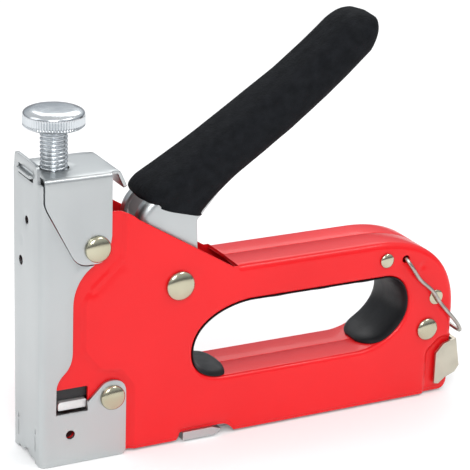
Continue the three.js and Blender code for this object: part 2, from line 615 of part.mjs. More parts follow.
function leverFrame() {
  const outline = leverOutline();
  const inner = new THREE.Shape(offset(outline, LEVER_T));
  const half = LEVER_HALF - LEVER_T;
  const hollow = plate(inner, -half, half, 6);
  const arm = box(-ARM_REACH, 0, -LEVER_HALF, LEVER_HALF, -ARM_HALF, ARM_HALF)
    .rotate([0, -ARM_TILT, 0])
    .translate([PIVOT_X, 0, PIVOT_Z]);
  const eye = crossBar(BUSH_R + 3.8, PIVOT_X, PIVOT_Z, -LEVER_HALF, LEVER_HALF, 36);
  const open = hollow
    .add(hollow.translate([2.2, 0, -3.3]))
    .add(box(0, PIVOT_X + 25.4, -half, half, PIVOT_Z - 23, PIVOT_Z + 30));
  return plate(new THREE.Shape(outline), -LEVER_HALF, LEVER_HALF, 6)
    .add(arm)
    .add(eye)
    .subtract(open)
    .subtract(crossBar(BUSH_R + RUN, PIVOT_X, PIVOT_Z, -20, 20, 32));
}

// Foam sleeve on the lever, counter-clockwise in the side view.
function gripOutline() {
  const shape = new THREE.Shape();
  shape.moveTo(...pivoted(10.6, 24.4));
  shape.quadraticCurveTo(...pivoted(17.9, 32), ...pivoted(25.2, 37.4));
  shape.lineTo(...pivoted(47, 52.2));
  shape.lineTo(...pivoted(61, 63));
  shape.quadraticCurveTo(...pivoted(72.4, 72.5), ...pivoted(78.9, 78.5));
  shape.quadraticCurveTo(...pivoted(84, 86.5), ...pivoted(81.2, 91.5));
  shape.quadraticCurveTo(...pivoted(75.4, 96), ...pivoted(67, 90));
  shape.quadraticCurveTo(...pivoted(55.4, 80), ...pivoted(45.2, 72.6));
  shape.lineTo(...pivoted(7.2, 47.7));
  shape.lineTo(...pivoted(-8.6, 37.7));
  shape.quadraticCurveTo(...pivoted(-16, 31.6), ...pivoted(-8.1, 29.6));
  shape.closePath();
  return sampled(shape, 6);
}

function leverGrip() {
  const core = new THREE.Shape(offset(leverOutline(), -GAP));
  const cavity = plate(core, -LEVER_HALF - GAP, LEVER_HALF + GAP, 6);
  return solid(roundedPlate(gripOutline(), GRIP_HALF, GRIP_ROUND)).subtract(cavity);
}

function leverBush() {
  const end = SHEET_IN - GAP;
  return ring(PIVOT_R + GAP, BUSH_R, PIVOT_X, PIVOT_Z, -end, end);
}

// Torsion spring round the bush, between the lever's cheeks.
function leverReturnSpring() {
  const wire = 0.7;
  const geometry = coil(BUSH_R + wire + 0.7, wire, 4.5, -4.5, 4.5);
  geometry.rotateX(Math.PI / 2);
  return geometry.translate(PIVOT_X, 0, PIVOT_Z);
}

// ---------------------------------------------------------------- magazine
function magazineChannel() {
  const inner = CHANNEL_HALF - CHANNEL_T;
  return box(CHANNEL_FRONT, CHANNEL_REAR, -CHANNEL_HALF, CHANNEL_HALF, CHANNEL_Z, CHANNEL_Z + CHANNEL_H)
    .subtract(box(0, CHANNEL_REAR + 5, -inner, inner, CHANNEL_Z + CHANNEL_T, CHANNEL_H + 5));
}

function magazineCore() {
  const z0 = CHANNEL_Z + CHANNEL_T + GAP;
  const inner = CORE_HALF - CORE_T;
  return box(CHANNEL_FRONT, CHANNEL_REAR - GAP, -CORE_HALF, CORE_HALF, z0, CORE_TOP)
    .subtract(box(0, CHANNEL_REAR + 5, -inner, inner, z0 - 1, CORE_TOP - CORE_T));
}

// Pressed cap on the rear end: a slanted rear wall with two side flanges.
function magazineEndCap() {
  const r = BODY_REAR;
  const sideShape = polygon([
    [r - 7, 4.6], [r - 5, 4.2], [r - 2.2, 6.4], [r + 2.4, 8.2], [r + 4.2, 10.7],
    [r + 2.1, 22.6], [r - 3.6, 21.2], [r - 7, 17.4],
  ]);
  const outer = BODY_HALF - JOGGLE + GAP + CAP_T;
  const walls = plate(sideShape, -outer, outer);
  const hollowShape = polygon([
    [r - 14, 0], [r + 2.2, 0], [r + 2.2, 9.4], [r + 2.9, 10.8], [r + 0.9, 22.0], [r - 2.2, 30], [r - 14, 30],
  ]);
  return walls.subtract(plate(hollowShape, -outer + CAP_T, outer - CAP_T));
}

function staplePusher() {
  const x0 = CHANNEL_FRONT + 18;
  const inner = CHANNEL_HALF - CHANNEL_T - GAP;
  return box(x0, x0 + 14, -inner, inner, CHANNEL_Z + CHANNEL_T + GAP, CHANNEL_Z + CHANNEL_H - 0.6)
    .subtract(box(x0 - 1, x0 + 30, -CORE_HALF - GAP, CORE_HALF + GAP, 0, CORE_TOP + GAP));
}

function pusherRod() {
  const front = CHANNEL_FRONT + 24;
  const length = CHANNEL_REAR - 1 - front;
  return solid(new THREE.CylinderGeometry(ROD_R, ROD_R, length, 12).rotateZ(Math.PI / 2))
    .translate([front + length / 2, 0, ROD_Z]);
}

function pusherSpring() {
  const wire = 0.45;
  const geometry = coil(ROD_R + wire + 0.65, wire, 9, 0, 60, 8);
  geometry.rotateY(Math.PI / 2);
  return geometry.translate(CHANNEL_FRONT + 90, 0, ROD_Z);
}

// Thumb catch in the lower edge of the near side.
function magazineCatch() {
  const outer = SHEET_IN - GAP;
  const { x0, x1, top } = CATCH;
  const shape = polygon([
    [x0, 0.6], [x1 - 2.8, 0.6], [x1, 2.6], [x1 - 4.4, 4.2], [x1 - 6.4, top], [x0 + 1, top],
  ]);
  const lip = polygon([[x0, 0.6], [x1 - 2.8, 0.6], [x1, 2.6], [x1 - 4, 3.9], [x0, 3.9]]);
  return plate(shape, -outer, -CHANNEL_HALF - GAP)
    .add(plate(lip, -BODY_HALF - 0.4, -outer + 1));
}

// ---------------------------------------------------------------- fasteners and spacers
// Through rivet with a domed head on each side.
function throughRivet({ x, z, shank, head, dome, on }) {
  const face = (on === 'nose' ? NOSE_OUT : BODY_HALF) + HEAD_STAND;
  const steps = 4;
  const profile = [[0, -face - dome]];
  for (let i = 1; i <= steps; i += 1) {
    const angle = (i / steps) * (Math.PI / 2);
    profile.push([head * Math.sin(angle), -face - dome * Math.cos(angle)]);
  }
  profile.push([shank, -face]);
  const half = profile.length;
  for (let i = half - 1; i >= 0; i -= 1) {
    profile.push([profile[i][0], -profile[i][1]]);
  }
  const geometry = new THREE.LatheGeometry(profile.map(([r, h]) => new THREE.Vector2(r, h)), 20);
  return geometry.translate(x, 0, z);
}

function spacer(name, outerR, half) {
  const { x, z, shank } = RIVETS[name];
  return ring(shank + GAP, outerR, x, z, -half, half);
}

// ---------------------------------------------------------------- loop lining and bail
// Soft C-shaped lining: along the front, the top and the rear of the finger loop.
function fingerGuard() {
  const loop = loopOutline();
  const outer = new THREE.Shape(offset(loop, GAP));
  const inner = new THREE.Shape(offset(loop, GAP + LINER_T));
  const half = BODY_HALF - 0.4;
  return plate(outer, -half, half)
    .subtract(plate(inner, -half - 1, half + 1))
    .subtract(box(LOOP_FRONT + 18.1, LOOP_REAR - 17.7, -OUTSIDE, OUTSIDE,
      LOOP_BOTTOM - 2, LOOP_BOTTOM + 8));
}

// Wire bail: two arms outside the body, hooked into its holes and joined behind it.
function lockBail() {
  const armY = BODY_HALF + HEAD_STAND + RIVETS.bail_stop_pin.dome + GAP + BAIL_WIRE_R;
  const hookY = SHEET_IN - 0.6;
  const half = [
    [BAIL_HOLE.x, hookY, BAIL_HOLE.z],
    [BAIL_HOLE.x, BODY_HALF + 0.3, BAIL_HOLE.z],
    [BAIL_HOLE.x + 1.2, armY, BAIL_HOLE.z - 2.2],
    [BAIL_HOLE.x + 5.4, armY, BAIL_HOLE.z - 8.2],
    [RIVETS.bail_stop_pin.x - 3, armY, RIVETS.bail_stop_pin.z + 3.6],
    [RIVETS.bail_stop_pin.x + 1, armY, RIVETS.bail_stop_pin.z - 2],
    [BAIL_END.x - 3, armY, BAIL_END.z + 4.2],
    [BAIL_END.x, armY - 2.4, BAIL_END.z],
    [BAIL_END.x, 0, BAIL_END.z],
  ];
  const far = half.slice(0, -1).reverse();
  const points = half.map(([x, y, z]) => new THREE.Vector3(x, -y, z))
    .concat(far.map(([x, y, z]) => new THREE.Vector3(x, y, z)));
  return sweep(new THREE.CatmullRomCurve3(points, false, 'centripetal'), BAIL_WIRE_R, 60, 6);
}

// ---------------------------------------------------------------- assembly
const root = new THREE.Group();

function place(name, body, material) {
  const geometry = body instanceof THREE.BufferGeometry ? body : geometryOf(body);
  const mesh = new THREE.Mesh(geometry, material);
  mesh.name = name;
  root.add(mesh);
}

const shell = bodyShell();
place('body_shell_near', shell, paint());
place('body_shell_far', mirrored(shell), paint());
place('front_housing', frontHousing(), chrome());
place('top_bracket', topBracket(), chrome());
place('screw_nut', screwNut(), steel());
place('adjusting_screw', adjustingScrew(), chrome());
place('adjusting_knob', adjustingKnob(), chrome());
place('spring_seat_washer', seatWasher(), steel());
place('main_spring', mainSpring(), steel());
place('striker_blade', strikerBlade(), steel());
place('striker_carrier', strikerCarrier(), steel());
place('lift_pin', liftPin(), steel());
place('striker_guide', strikerGuide(), steel());
place('striker_bumper', strikerBumper(), rubber());
place('guide_block', guideBlock(), plastic());
place('nose_bar', noseBar(), steel());
place('lever_frame', leverFrame(), chrome());
place('lever_grip', leverGrip(), foam());
place('lever_bush', leverBush(), steel());
place('lever_return_spring', leverReturnSpring(), steel());
place('magazine_channel', magazineChannel(), chrome());
place('magazine_core', magazineCore(), steel());
place('magazine_end_cap', magazineEndCap(), nickel());
place('staple_pusher', staplePusher(), steel());
place('pusher_rod', pusherRod(), steel());
place('pusher_spring', pusherSpring(), steel());
place('magazine_catch', magazineCatch(), chrome());
place('finger_guard', fingerGuard(), rubber());
place('lock_bail', lockBail(), steel());
place('lower_nose_spacer', spacer('lower_nose_rivet', 4.2, STEP_IN - GAP), steel());
place('rear_spacer', spacer('rear_lower_rivet', 4.0, SHEET_IN - GAP), steel());
Object.entries(RIVETS).forEach(([name, rivet]) => place(name, throughRivet(rivet), nickel()));

root.position.x = -SCREW_X;

export default root;
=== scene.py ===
"""Looks of the hand staple gun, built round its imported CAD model.

Outlines are in millimetres: x is counted from the front face of the nose and z from its foot, as
seen from the near side. place() turns them into metres in the row frame.
"""

import json
from math import acos, copysign, cos, pi, radians, sin, sqrt, tan

import bpy
import numpy as np
from mathutils import Matrix, Vector, noise
from mathutils.geometry import delaunay_2d_cdt


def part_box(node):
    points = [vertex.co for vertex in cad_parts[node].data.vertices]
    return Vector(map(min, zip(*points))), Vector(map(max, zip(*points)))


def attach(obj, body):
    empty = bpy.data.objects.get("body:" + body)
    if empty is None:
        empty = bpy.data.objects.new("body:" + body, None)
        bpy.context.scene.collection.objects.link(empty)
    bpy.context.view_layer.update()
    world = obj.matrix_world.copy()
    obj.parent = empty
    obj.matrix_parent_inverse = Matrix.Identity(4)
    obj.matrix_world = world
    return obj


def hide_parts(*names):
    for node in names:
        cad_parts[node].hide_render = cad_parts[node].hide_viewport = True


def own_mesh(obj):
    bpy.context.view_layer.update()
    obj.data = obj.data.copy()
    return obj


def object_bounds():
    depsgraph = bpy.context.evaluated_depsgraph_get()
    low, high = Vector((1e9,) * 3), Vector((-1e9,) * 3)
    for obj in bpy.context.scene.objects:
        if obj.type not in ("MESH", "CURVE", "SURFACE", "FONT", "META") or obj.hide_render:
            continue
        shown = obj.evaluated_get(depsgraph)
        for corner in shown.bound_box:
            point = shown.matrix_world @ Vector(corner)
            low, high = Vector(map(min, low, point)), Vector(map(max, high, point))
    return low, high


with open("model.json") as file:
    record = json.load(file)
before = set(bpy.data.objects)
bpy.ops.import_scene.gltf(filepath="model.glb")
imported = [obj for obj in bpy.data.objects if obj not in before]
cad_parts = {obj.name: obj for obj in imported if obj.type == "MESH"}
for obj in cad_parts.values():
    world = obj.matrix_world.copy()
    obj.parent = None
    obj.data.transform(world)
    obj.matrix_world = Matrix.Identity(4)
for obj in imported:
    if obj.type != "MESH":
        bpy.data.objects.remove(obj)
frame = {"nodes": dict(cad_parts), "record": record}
cad_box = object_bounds()

MM = 0.001
NOSE_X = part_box("front_housing")[0].x


def place(x, y, z):
    """Point in the row frame, in metres, from millimetres behind the nose's front."""
    return Vector((NOSE_X + x * MM, y * MM, z * MM))


def extent(node):
    """Lowest and highest corners of a CAD node in the millimetres of place()."""
    low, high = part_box(node)
    shift = Vector((NOSE_X, 0, 0))
    return (low - shift) / MM, (high - shift) / MM


# ---- sizes
SEAM_HALF = 0.15  # body sheets stop this far from the middle
GAP = 0.3  # clearance between neighbouring pieces
BODY_LOW, BODY_HIGH = extent("body_shell_near")
BODY_HALF = -BODY_LOW.y
BODY_FRONT, BODY_BOTTOM = BODY_LOW.x, BODY_LOW.z
BODY_REAR, BODY_NOSE_TOP = BODY_HIGH.x, BODY_HIGH.z
BODY_T = 1.2  # sheet thickness of the body
BODY_BEND = 2.6  # outer radius of its rolled edges
LOOP_BEND = 1.7
PLAIN_BEND = 0.35  # slight rounding of a plain sheared edge
JOGGLE = 1.0  # step in the sheets under the nose and the end cap
HANDLE_TOP = 67.0
SHOULDER_X = 36.0
SHOULDER_END_X = 76.5
FLANGE_X = 78.6  # where the handle's top flanges start
FLANGE_LOW = HANDLE_TOP - 34  # and how far down they follow the rear
LOOP_TOP = 53.0
LOOP_BOTTOM = 23.6
LOOP_FRONT = 60.4
LOOP_REAR = 153.2
CAP_TOP = LOOP_BOTTOM + 0.4  # top of the end cap's step in the sheets

NOSE_HIGH = extent("front_housing")[1]
NOSE_T = 1.2
NOSE_OUT = NOSE_HIGH.y
NOSE_DEPTH = NOSE_HIGH.x
NOSE_TAB_TOP = NOSE_HIGH.z
NOSE_SHOULDER = 107.6
NOSE_TAB_HALF = 11.0
NOSE_BEND = 2.5

BRACKET_TOP = extent("top_bracket")[1].z
BRACKET_REAR = 27.3
BRACKET_BEND = 1.6
BRACKET_LIP_X = 29.6
BRACKET_LIP_BEND = 2.0
BRACKET_LIP_FALL = radians(66)
BRACKET_LIP_LENGTH = 6.0

SCREW_LOW, SCREW_HIGH = extent("adjusting_screw")
SCREW_X = (SCREW_LOW.x + SCREW_HIGH.x) / 2
SCREW_R = (SCREW_HIGH.x - SCREW_LOW.x) / 2
SCREW_CHAMFER = 1.2
THREAD_PITCH = 1.5
THREAD_DEPTH = 0.75
KNOB_LOW, KNOB_HIGH = extent("adjusting_knob")
KNOB_R = (KNOB_HIGH.x - KNOB_LOW.x) / 2
KNURLS = 66
KNURL_DEPTH = 0.48

RIVETS = ["upper_nose_rivet", "lower_nose_rivet", "lever_pivot_rivet", "rear_upper_rivet",
          "rear_lower_rivet", "bail_stop_pin"]
RIVET_STAND = 0.15  # their heads stand this far off the sheet
BAIL_HOLE, BAIL_HOLE_R = (150.8, 59.3), 1.6
SIDE_HOLE, SIDE_HOLE_R = (11.6, 11.6), 1.75  # in the nose's side plates
WINDOW = ((6.6, 17.5), (19.0, 29.2))  # opening in the sheets that shows the steel bar


# ---- outlines
def bezier(handles, t):
    """Point on a Bezier curve of any degree."""
    while len(handles) > 1:
        handles = [a.lerp(b, t) for a, b in zip(handles, handles[1:])]
    return handles[0]


def trace(start, *steps, pitch=1.0):
    """Points along a line of straight and curved steps. A step lists its handles and its end."""
    points = [Vector(start)]
    for step in steps:
        handles = [points[-1]] + [Vector(p) for p in step]
        length = sum((b - a).length for a, b in zip(handles, handles[1:]))
        count = max(1, round(length / pitch))
        points += [bezier(handles, i / count) for i in range(1, count + 1)]
    return points


def closed(points):
    """The same points without a repeated last one."""
    return [p for i, p in enumerate(points) if (p - points[i - 1]).length > 1e-3]


def rounded(corners, pitch=1.0):
    """Closed outline through corners given as (x, z, radius)."""
    count = len(corners)
    points = []
    for i, (x, z, radius) in enumerate(corners):
        here = Vector((x, z))
        to_last = Vector(corners[i - 1][:2]) - here
        to_next = Vector(corners[(i + 1) % count][:2]) - here
        half = to_last.angle(to_next) / 2
        cut = min(radius / tan(half), 0.49 * to_last.length, 0.49 * to_next.length)
        a = here + to_last.normalized() * cut
        b = here + to_next.normalized() * cut
        if points:
            points += trace(points[-1], [a], pitch=pitch)[1:]
        else:
            points.append(a)
        if cut > 0.05:
            points += trace(a, [here, b], pitch=min(pitch, max(0.2, cut / 4)))[1:]
    points += trace(points[-1], [points[0]], pitch=pitch)[1:-1]
    return closed(points)


def rectangle(low, high, radii, pitch=1.0):
    """Closed rectangle between two corners, with one radius for each from the low one on."""
    corners = [low, (high[0], low[1]), high, (low[0], high[1])]
    return rounded([(*corner, radius) for corner, radius in zip(corners, radii)], pitch)


def circle(x, z, radius, count=24):
    """Closed ring of points."""
    return [Vector((x + radius * cos(a), z + radius * sin(a)))
            for a in (2 * pi * i / count for i in range(count))]


def offset(points, distances):
    """Outline moved to the left of its direction, by one distance or one for each point."""
    if not hasattr(distances, "__len__"):
        distances = [distances] * len(points)
    moved = []
    for i, point in enumerate(points):
        a = (point - points[i - 1]).normalized()
        b = (points[(i + 1) % len(points)] - point).normalized()
        normal = Vector((-a.y - b.y, a.x + b.x)).normalized()
        spread = max(0.5, normal.x * -a.y + normal.y * a.x)
        moved.append(point + normal * (distances[i] / spread))
    return moved


def inside(points, ring):
    """Which of the points lie inside a closed ring."""
    x, z = points[:, 0:1], points[:, 1:2]
    a = np.array(ring, float)
    b = np.roll(a, -1, axis=0)
    crosses = (a[:, 1] > z) != (b[:, 1] > z)
    rise = np.where(b[:, 1] == a[:, 1], 1e-12, b[:, 1] - a[:, 1])
    at = a[:, 0] + (z - a[:, 1]) * (b[:, 0] - a[:, 0]) / rise
    return (crosses & (x < at)).sum(1) % 2 == 1


def reach(points, lines):
    """Distance from each point to the nearest of some line segments, given as [(start, end), ...]."""
    a = np.array([s for s, _ in lines], float)
    b = np.array([e for _, e in lines], float)
    span = b - a
    size = np.maximum((span ** 2).sum(1), 1e-12)
    near = np.full(len(points), 1e9)
    for start, along, square in zip(a, span, size):
        t = np.clip(((points - start) @ along) / square, 0, 1)
        near = np.minimum(near, np.linalg.norm(points - start - t[:, None] * along, axis=1))
    return near


def ring_lines(ring):
    """Segments of a closed ring."""
    return list(zip(ring, ring[1:] + ring[:1]))


def depth_in(points, ring):
    """Signed distance to a closed ring, positive inside it."""
    near = reach(points, ring_lines(ring))
    return np.where(inside(points, ring), near, -near)


def smooth_step(t):
    """Smooth rise from 0 to 1."""
    t = np.clip(t, 0, 1)
    return t * t * (3 - 2 * t)


def dent(points, start, end, floor, slope):
    """1 within floor of a line, falling smoothly to 0 over slope."""
    return 1 - smooth_step((reach(points, [(start, end)]) - floor) / slope)


def fill(outline, holes=(), guides=(), pitch=2.5):
    """Triangles of a flat area: its points, its faces, and the indices of each ring's points.

    The mesh follows the guides, and a triangular grid fills the rest.
    """
    row_step = 0.87 * pitch
    rings = [outline, *holes]
    points = [p for ring in rings for p in ring]
    edges, starts = [], []
    for ring in rings:
        first = len(edges)
        starts.append(first)
        edges += [(first + i, first + (i + 1) % len(ring)) for i in range(len(ring))]
    fixed = np.array(points, float)

    def in_area(points):
        keep = inside(points, outline)
        for hole in holes:
            keep &= ~inside(points, hole)
        return keep

    def open_area(candidates, clear, against):
        candidates = np.array(candidates, float).reshape(-1, 2)
        candidates = candidates[in_area(candidates)]
        gaps = [np.linalg.norm(against - c, axis=1).min() for c in candidates]
        return candidates[np.array(gaps, float) > clear] if len(candidates) else candidates

    followed = [p for line in guides for p in line]
    if followed:
        fixed = np.vstack([fixed, open_area(followed, 0.3, fixed)])
    low, high = fixed.min(0), fixed.max(0)
    grid = [(x + (pitch / 2 if row % 2 else 0), z)
            for row, z in enumerate(np.arange(low[1], high[1], row_step))
            for x in np.arange(low[0], high[0], pitch)]
    fixed = np.vstack([fixed, open_area(grid, 0.55 * pitch, fixed)])
    verts, _, faces, origin, _, _ = delaunay_2d_cdt([Vector(p) for p in fixed], edges, [], 0, 1e-5)
    flat = np.array(verts, float)
    keep = in_area(np.array([flat[list(f)].mean(0) for f in faces]))
    where = {source: k for k, sources in enumerate(origin) for source in sources}
    index = [[where[start + i] for i in range(len(ring))] for start, ring in zip(starts, rings)]
    return flat, [tuple(f) for f, k in zip(faces, keep) if k], index


# ---- meshes
def add(name, data):
    """New object in the scene."""
    item = bpy.data.objects.new(name, data)
    bpy.context.scene.collection.objects.link(item)
    return item


def add_mesh(name, verts, faces):
    mesh = bpy.data.meshes.new(name)
    mesh.from_pydata([tuple(v) for v in verts], [], faces)
    mesh.validate()
    return add(name, mesh)


def weld(piece, distance):
    """Adds a modifier that joins points closer than a distance in mm."""
    joined = piece.modifiers.new("weld", "WELD")
    joined.merge_threshold = distance * MM


def ease_edges(piece, width, angle, segments=3):
    """Adds a modifier that rounds edges sharper than an angle in degrees by a width in mm."""
    bevel = piece.modifiers.new("edge", "BEVEL")
    bevel.width = width * MM
    bevel.segments = segments
    bevel.limit_method = "ANGLE"
    bevel.angle_limit = radians(angle)
    return bevel


def settle(piece, sharp=38):
    """Applies the piece's modifiers and shades it smooth except at sharp edges."""
    graph = bpy.context.evaluated_depsgraph_get()
    graph.update()
    mesh = bpy.data.meshes.new_from_object(piece.evaluated_get(graph))
    piece.modifiers.clear()
    piece.data = mesh
    mesh.name = piece.name
    mesh.shade_smooth()
    mesh.set_sharp_from_angle(angle=radians(sharp))
    return piece


def thicken(piece, thickness, edge=0.18):
    """Gives a skin its sheet thickness on the inner side and eases the cut edges."""
    shell = piece.modifiers.new("sheet", "SOLIDIFY")
    shell.thickness = thickness * MM
    shell.offset = -1
    ease_edges(piece, edge, 55, segments=2)
    return settle(piece)


def mirror_copy(piece, name):
    """The same piece on the far side of the middle plane."""
    mesh = piece.data.copy()
    mesh.transform(Matrix.Scale(-1, 4, Vector((0, 1, 0))))
    mesh.flip_normals()
    return add(name, mesh)


def skin(verts, ring):
    """Faces that join rings of points, listed one ring after another."""
    return [(r * ring + k, r * ring + (k + 1) % ring, (r + 1) * ring + (k + 1) % ring, (r + 1) * ring + k)
            for r in range(len(verts) // ring - 1) for k in range(ring)]


def capped(verts, ring):
    """The same with a face on either end."""
    return skin(verts, ring) + [tuple(range(ring))[::-1], tuple(range(len(verts) - ring, len(verts)))]


def both_sides(near, faces, rim=()):
    """A near-side skin and its mirror image, joined round the points of the rim if there is one."""
    count = len(near)
    verts = near + [(x, -y, z) for x, y, z in near]
    faces = faces + [tuple(i + count for i in f)[::-1] for f in faces]
    faces += [(b, a, a + count, b + count) for a, b in zip(rim, [*rim[1:], *rim[:1]])]
    return verts, faces


def turned(name, profile, segments=64, ripple=None, axis="Z", centre=(0, 0, 0)):
    """Turned piece from (radius, height) pairs in mm. ripple(angle, height) adds to the radius."""
    verts = []
    for radius, height in profile:
        for k in range(segments):
            angle = 2 * pi * k / segments
            r = radius + (ripple(angle, height) if ripple else 0)
            across = (r * cos(angle), r * sin(angle))
            at = (across[0], across[1], height) if axis == "Z" else (across[0], height, -across[1])
            verts.append(place(*(a + c for a, c in zip(at, centre))))
    faces = skin(verts, segments)
    for row, order in ((0, -1), (len(profile) - 1, 1)):
        end = Vector((0, 0, profile[row][1])) if axis == "Z" else Vector((0, profile[row][1], 0))
        verts.append(place(*(end + Vector(centre))))
        for k in range(segments):
            a, b = row * segments + k, row * segments + (k + 1) % segments
            faces.append((a, b, len(verts) - 1)[::order])
    return settle(add_mesh(name, verts, faces))


def tube(name, points, radius, sides=14):
    """Round wire through points in mm."""
    points = [Vector(p) for p in points]
    along = [(b - a).normalized() for a, b in zip(points, points[1:])]
    along = [along[0]] + [(a + b).normalized() for a, b in zip(along, along[1:])] + [along[-1]]
    normal = along[0].orthogonal().normalized()
    verts = []
    for point, forward in zip(points, along):
        normal = (normal - forward * normal.dot(forward)).normalized()
        side = forward.cross(normal)
        for k in range(sides):
            angle = 2 * pi * k / sides
            verts.append(place(*(point + radius * (normal * cos(angle) + side * sin(angle)))))
    return settle(add_mesh(name, verts, capped(verts, sides)), sharp=60)


def soft_path(points, per_span=12):
    """Centripetal curve through points, ending at the first and the last."""
    points = [Vector(p) for p in points]
    ends = [2 * points[0] - points[1], *points, 2 * points[-1] - points[-2]]
    path = []
    for p0, p1, p2, p3 in zip(ends, ends[1:], ends[2:], ends[3:]):
        t1 = (p1 - p0).length ** 0.5
        t2 = t1 + (p2 - p1).length ** 0.5
        t3 = t2 + (p3 - p2).length ** 0.5
        for i in range(per_span):
            t = t1 + (t2 - t1) * i / per_span
            a1 = p0.lerp(p1, t / t1)
            a2 = p1.lerp(p2, (t - t1) / (t2 - t1))
            a3 = p2.lerp(p3, (t - t2) / (t3 - t2))
            b1 = a1.lerp(a2, t / t2)
            b2 = a2.lerp(a3, (t - t1) / (t3 - t1))
            path.append(b1.lerp(b2, (t - t1) / (t2 - t1)))
    return path + [points[-1]]


def coil(radius, turns, low, high, per_turn=28):
    """Points of a helix round the vertical axis through the origin."""
    count = round(turns * per_turn)
    return [Vector((radius * cos(a), radius * sin(a), low + (high - low) * i / count))
            for i, a in ((i, 2 * pi * turns * i / count) for i in range(count + 1))]


# ---- materials
def set_stops(ramp, stops):
    """Gives a colour ramp its colours, or its grey values, at positions from 0 to 1."""
    elements = ramp.color_ramp.elements
    while len(elements) < len(stops):
        elements.new(0.5)
    for element, (position, value) in zip(elements, stops):
        element.position = position
        element.color = (*value, 1) if hasattr(value, "__len__") else (value, value, value, 1)


class Look:
    """A principled material with helpers for procedural inputs in object space."""

    def __init__(self, name, **constants):
        self.material = bpy.data.materials.new(name)
        self.material.use_nodes = True
        self.nodes = self.material.node_tree.nodes
        self.links = self.material.node_tree.links
        self.shader = next(n for n in self.nodes if n.type == "BSDF_PRINCIPLED")
        self.space = self.nodes.new("ShaderNodeTexCoord").outputs["Object"]
        for socket, value in constants.items():
            self.shader.inputs[socket.replace("_", " ")].default_value = value

    def stretched(self, x, y, z):
        """Object space scaled along its axes."""
        node = self.nodes.new("ShaderNodeMapping")
        node.inputs["Scale"].default_value = (x, y, z)
        self.links.new(self.space, node.inputs["Vector"])
        return node.outputs["Vector"]

    def noise(self, scale, detail=3.0, vector=None, roughness=0.5):
        node = self.nodes.new("ShaderNodeTexNoise")
        node.inputs["Scale"].default_value = scale
        node.inputs["Detail"].default_value = detail
        node.inputs["Roughness"].default_value = roughness
        self.links.new(vector or self.space, node.inputs["Vector"])
        return node.outputs["Fac"]

    def cells(self, scale):
        node = self.nodes.new("ShaderNodeTexVoronoi")
        node.inputs["Scale"].default_value = scale
        self.links.new(self.space, node.inputs["Vector"])
        return node.outputs["Distance"]

    def ramp(self, factor, low, high, ends=(0.3, 0.7)):
        """Two colours or grey values, mixed where a factor runs between two ends."""
        node = self.nodes.new("ShaderNodeValToRGB")
        set_stops(node, [(ends[0], low), (ends[1], high)])
        self.links.new(factor, node.inputs["Fac"])
        return node.outputs["Color"]

    def colour(self, factor, dark, light, **ends):
        self.links.new(self.ramp(factor, dark, light, **ends), self.shader.inputs["Base Color"])
        return self

    def rough(self, factor, low, high, **ends):
        self.links.new(self.ramp(factor, low, high, **ends), self.shader.inputs["Roughness"])
        return self

    def bump(self, height, depth, strength=0.3):
        """Adds one layer of relief; depth is in metres."""
        node = self.nodes.new("ShaderNodeBump")
        node.inputs["Strength"].default_value = strength
        node.inputs["Distance"].default_value = depth
        self.links.new(height, node.inputs["Height"])
        before = self.shader.inputs["Normal"]
        if before.links:
            self.links.new(before.links[0].from_socket, node.inputs["Normal"])
        self.links.new(node.outputs["Normal"], before)
        return self


def red_paint():
    look = Look("red_paint", Metallic=0.0, Specular_IOR_Level=0.26, Coat_Weight=0.18,
                Coat_Roughness=0.08, Coat_IOR=1.5)
    broad = look.noise(14, 4)
    look.colour(broad, (0.74, 0.006, 0.009), (0.82, 0.009, 0.013), ends=(0.35, 0.65))
    look.rough(look.noise(60, 4), 0.30, 0.40)
    return look.bump(look.noise(520, 2), 0.0004, 0.05).bump(look.noise(60, 2), 0.0008, 0.05).material


def satin_chrome():
    look = Look("satin_chrome", Metallic=1.0)
    broad = look.noise(16, 3)
    look.colour(broad, (0.475, 0.495, 0.500), (0.545, 0.565, 0.565))
    grain = look.noise(90, 5, look.stretched(1.0, 1.0, 0.06))
    look.rough(grain, 0.30, 0.42, ends=(0.25, 0.75))
    return look.bump(grain, 0.00015, 0.05).bump(look.noise(30, 2), 0.0006, 0.05).material


def bright_zinc():
    look = Look("bright_zinc", Metallic=1.0)
    look.colour(look.noise(70, 3), (0.56, 0.59, 0.615), (0.68, 0.705, 0.725))
    look.rough(look.noise(140, 4), 0.16, 0.28)
    return look.bump(look.noise(420, 3), 0.0002, 0.08).material


def nickel_plate():
    look = Look("nickel_plate", Metallic=1.0)
    look.colour(look.noise(60, 3), (0.46, 0.43, 0.31), (0.56, 0.53, 0.40))
    look.rough(look.noise(160, 4), 0.13, 0.22)
    return look.bump(look.noise(300, 3), 0.0002, 0.06).material


def satin_nickel():
    look = Look("satin_nickel", Metallic=1.0)
    look.colour(look.noise(120, 4), (0.46, 0.435, 0.36), (0.56, 0.53, 0.44))
    look.rough(look.noise(160, 4), 0.30, 0.42)
    return look.bump(look.noise(900, 3), 0.0003, 0.15).material


def bail_steel():
    look = Look("bail_steel", Metallic=1.0)
    look.colour(look.noise(200, 4), (0.34, 0.32, 0.29), (0.50, 0.48, 0.44))
    look.rough(look.noise(300, 4), 0.24, 0.36)
    return look.bump(look.noise(900, 3), 0.0002, 0.1).material


def bar_steel():
    look = Look("bar_steel", Metallic=0.85)
    look.colour(look.noise(200, 4), (0.70, 0.71, 0.70), (0.82, 0.83, 0.82))
    look.rough(look.noise(300, 4), 0.40, 0.52)
    return look.bump(look.noise(900, 3), 0.0002, 0.1).material


def plain_steel():
    look = Look("plain_steel", Metallic=1.0)
    look.colour(look.noise(50, 4), (0.40, 0.405, 0.41), (0.55, 0.555, 0.56))
    look.rough(look.noise(180, 4, look.stretched(0.1, 1.0, 1.0)), 0.28, 0.42)
    return look.bump(look.noise(300, 3), 0.0002, 0.06).material


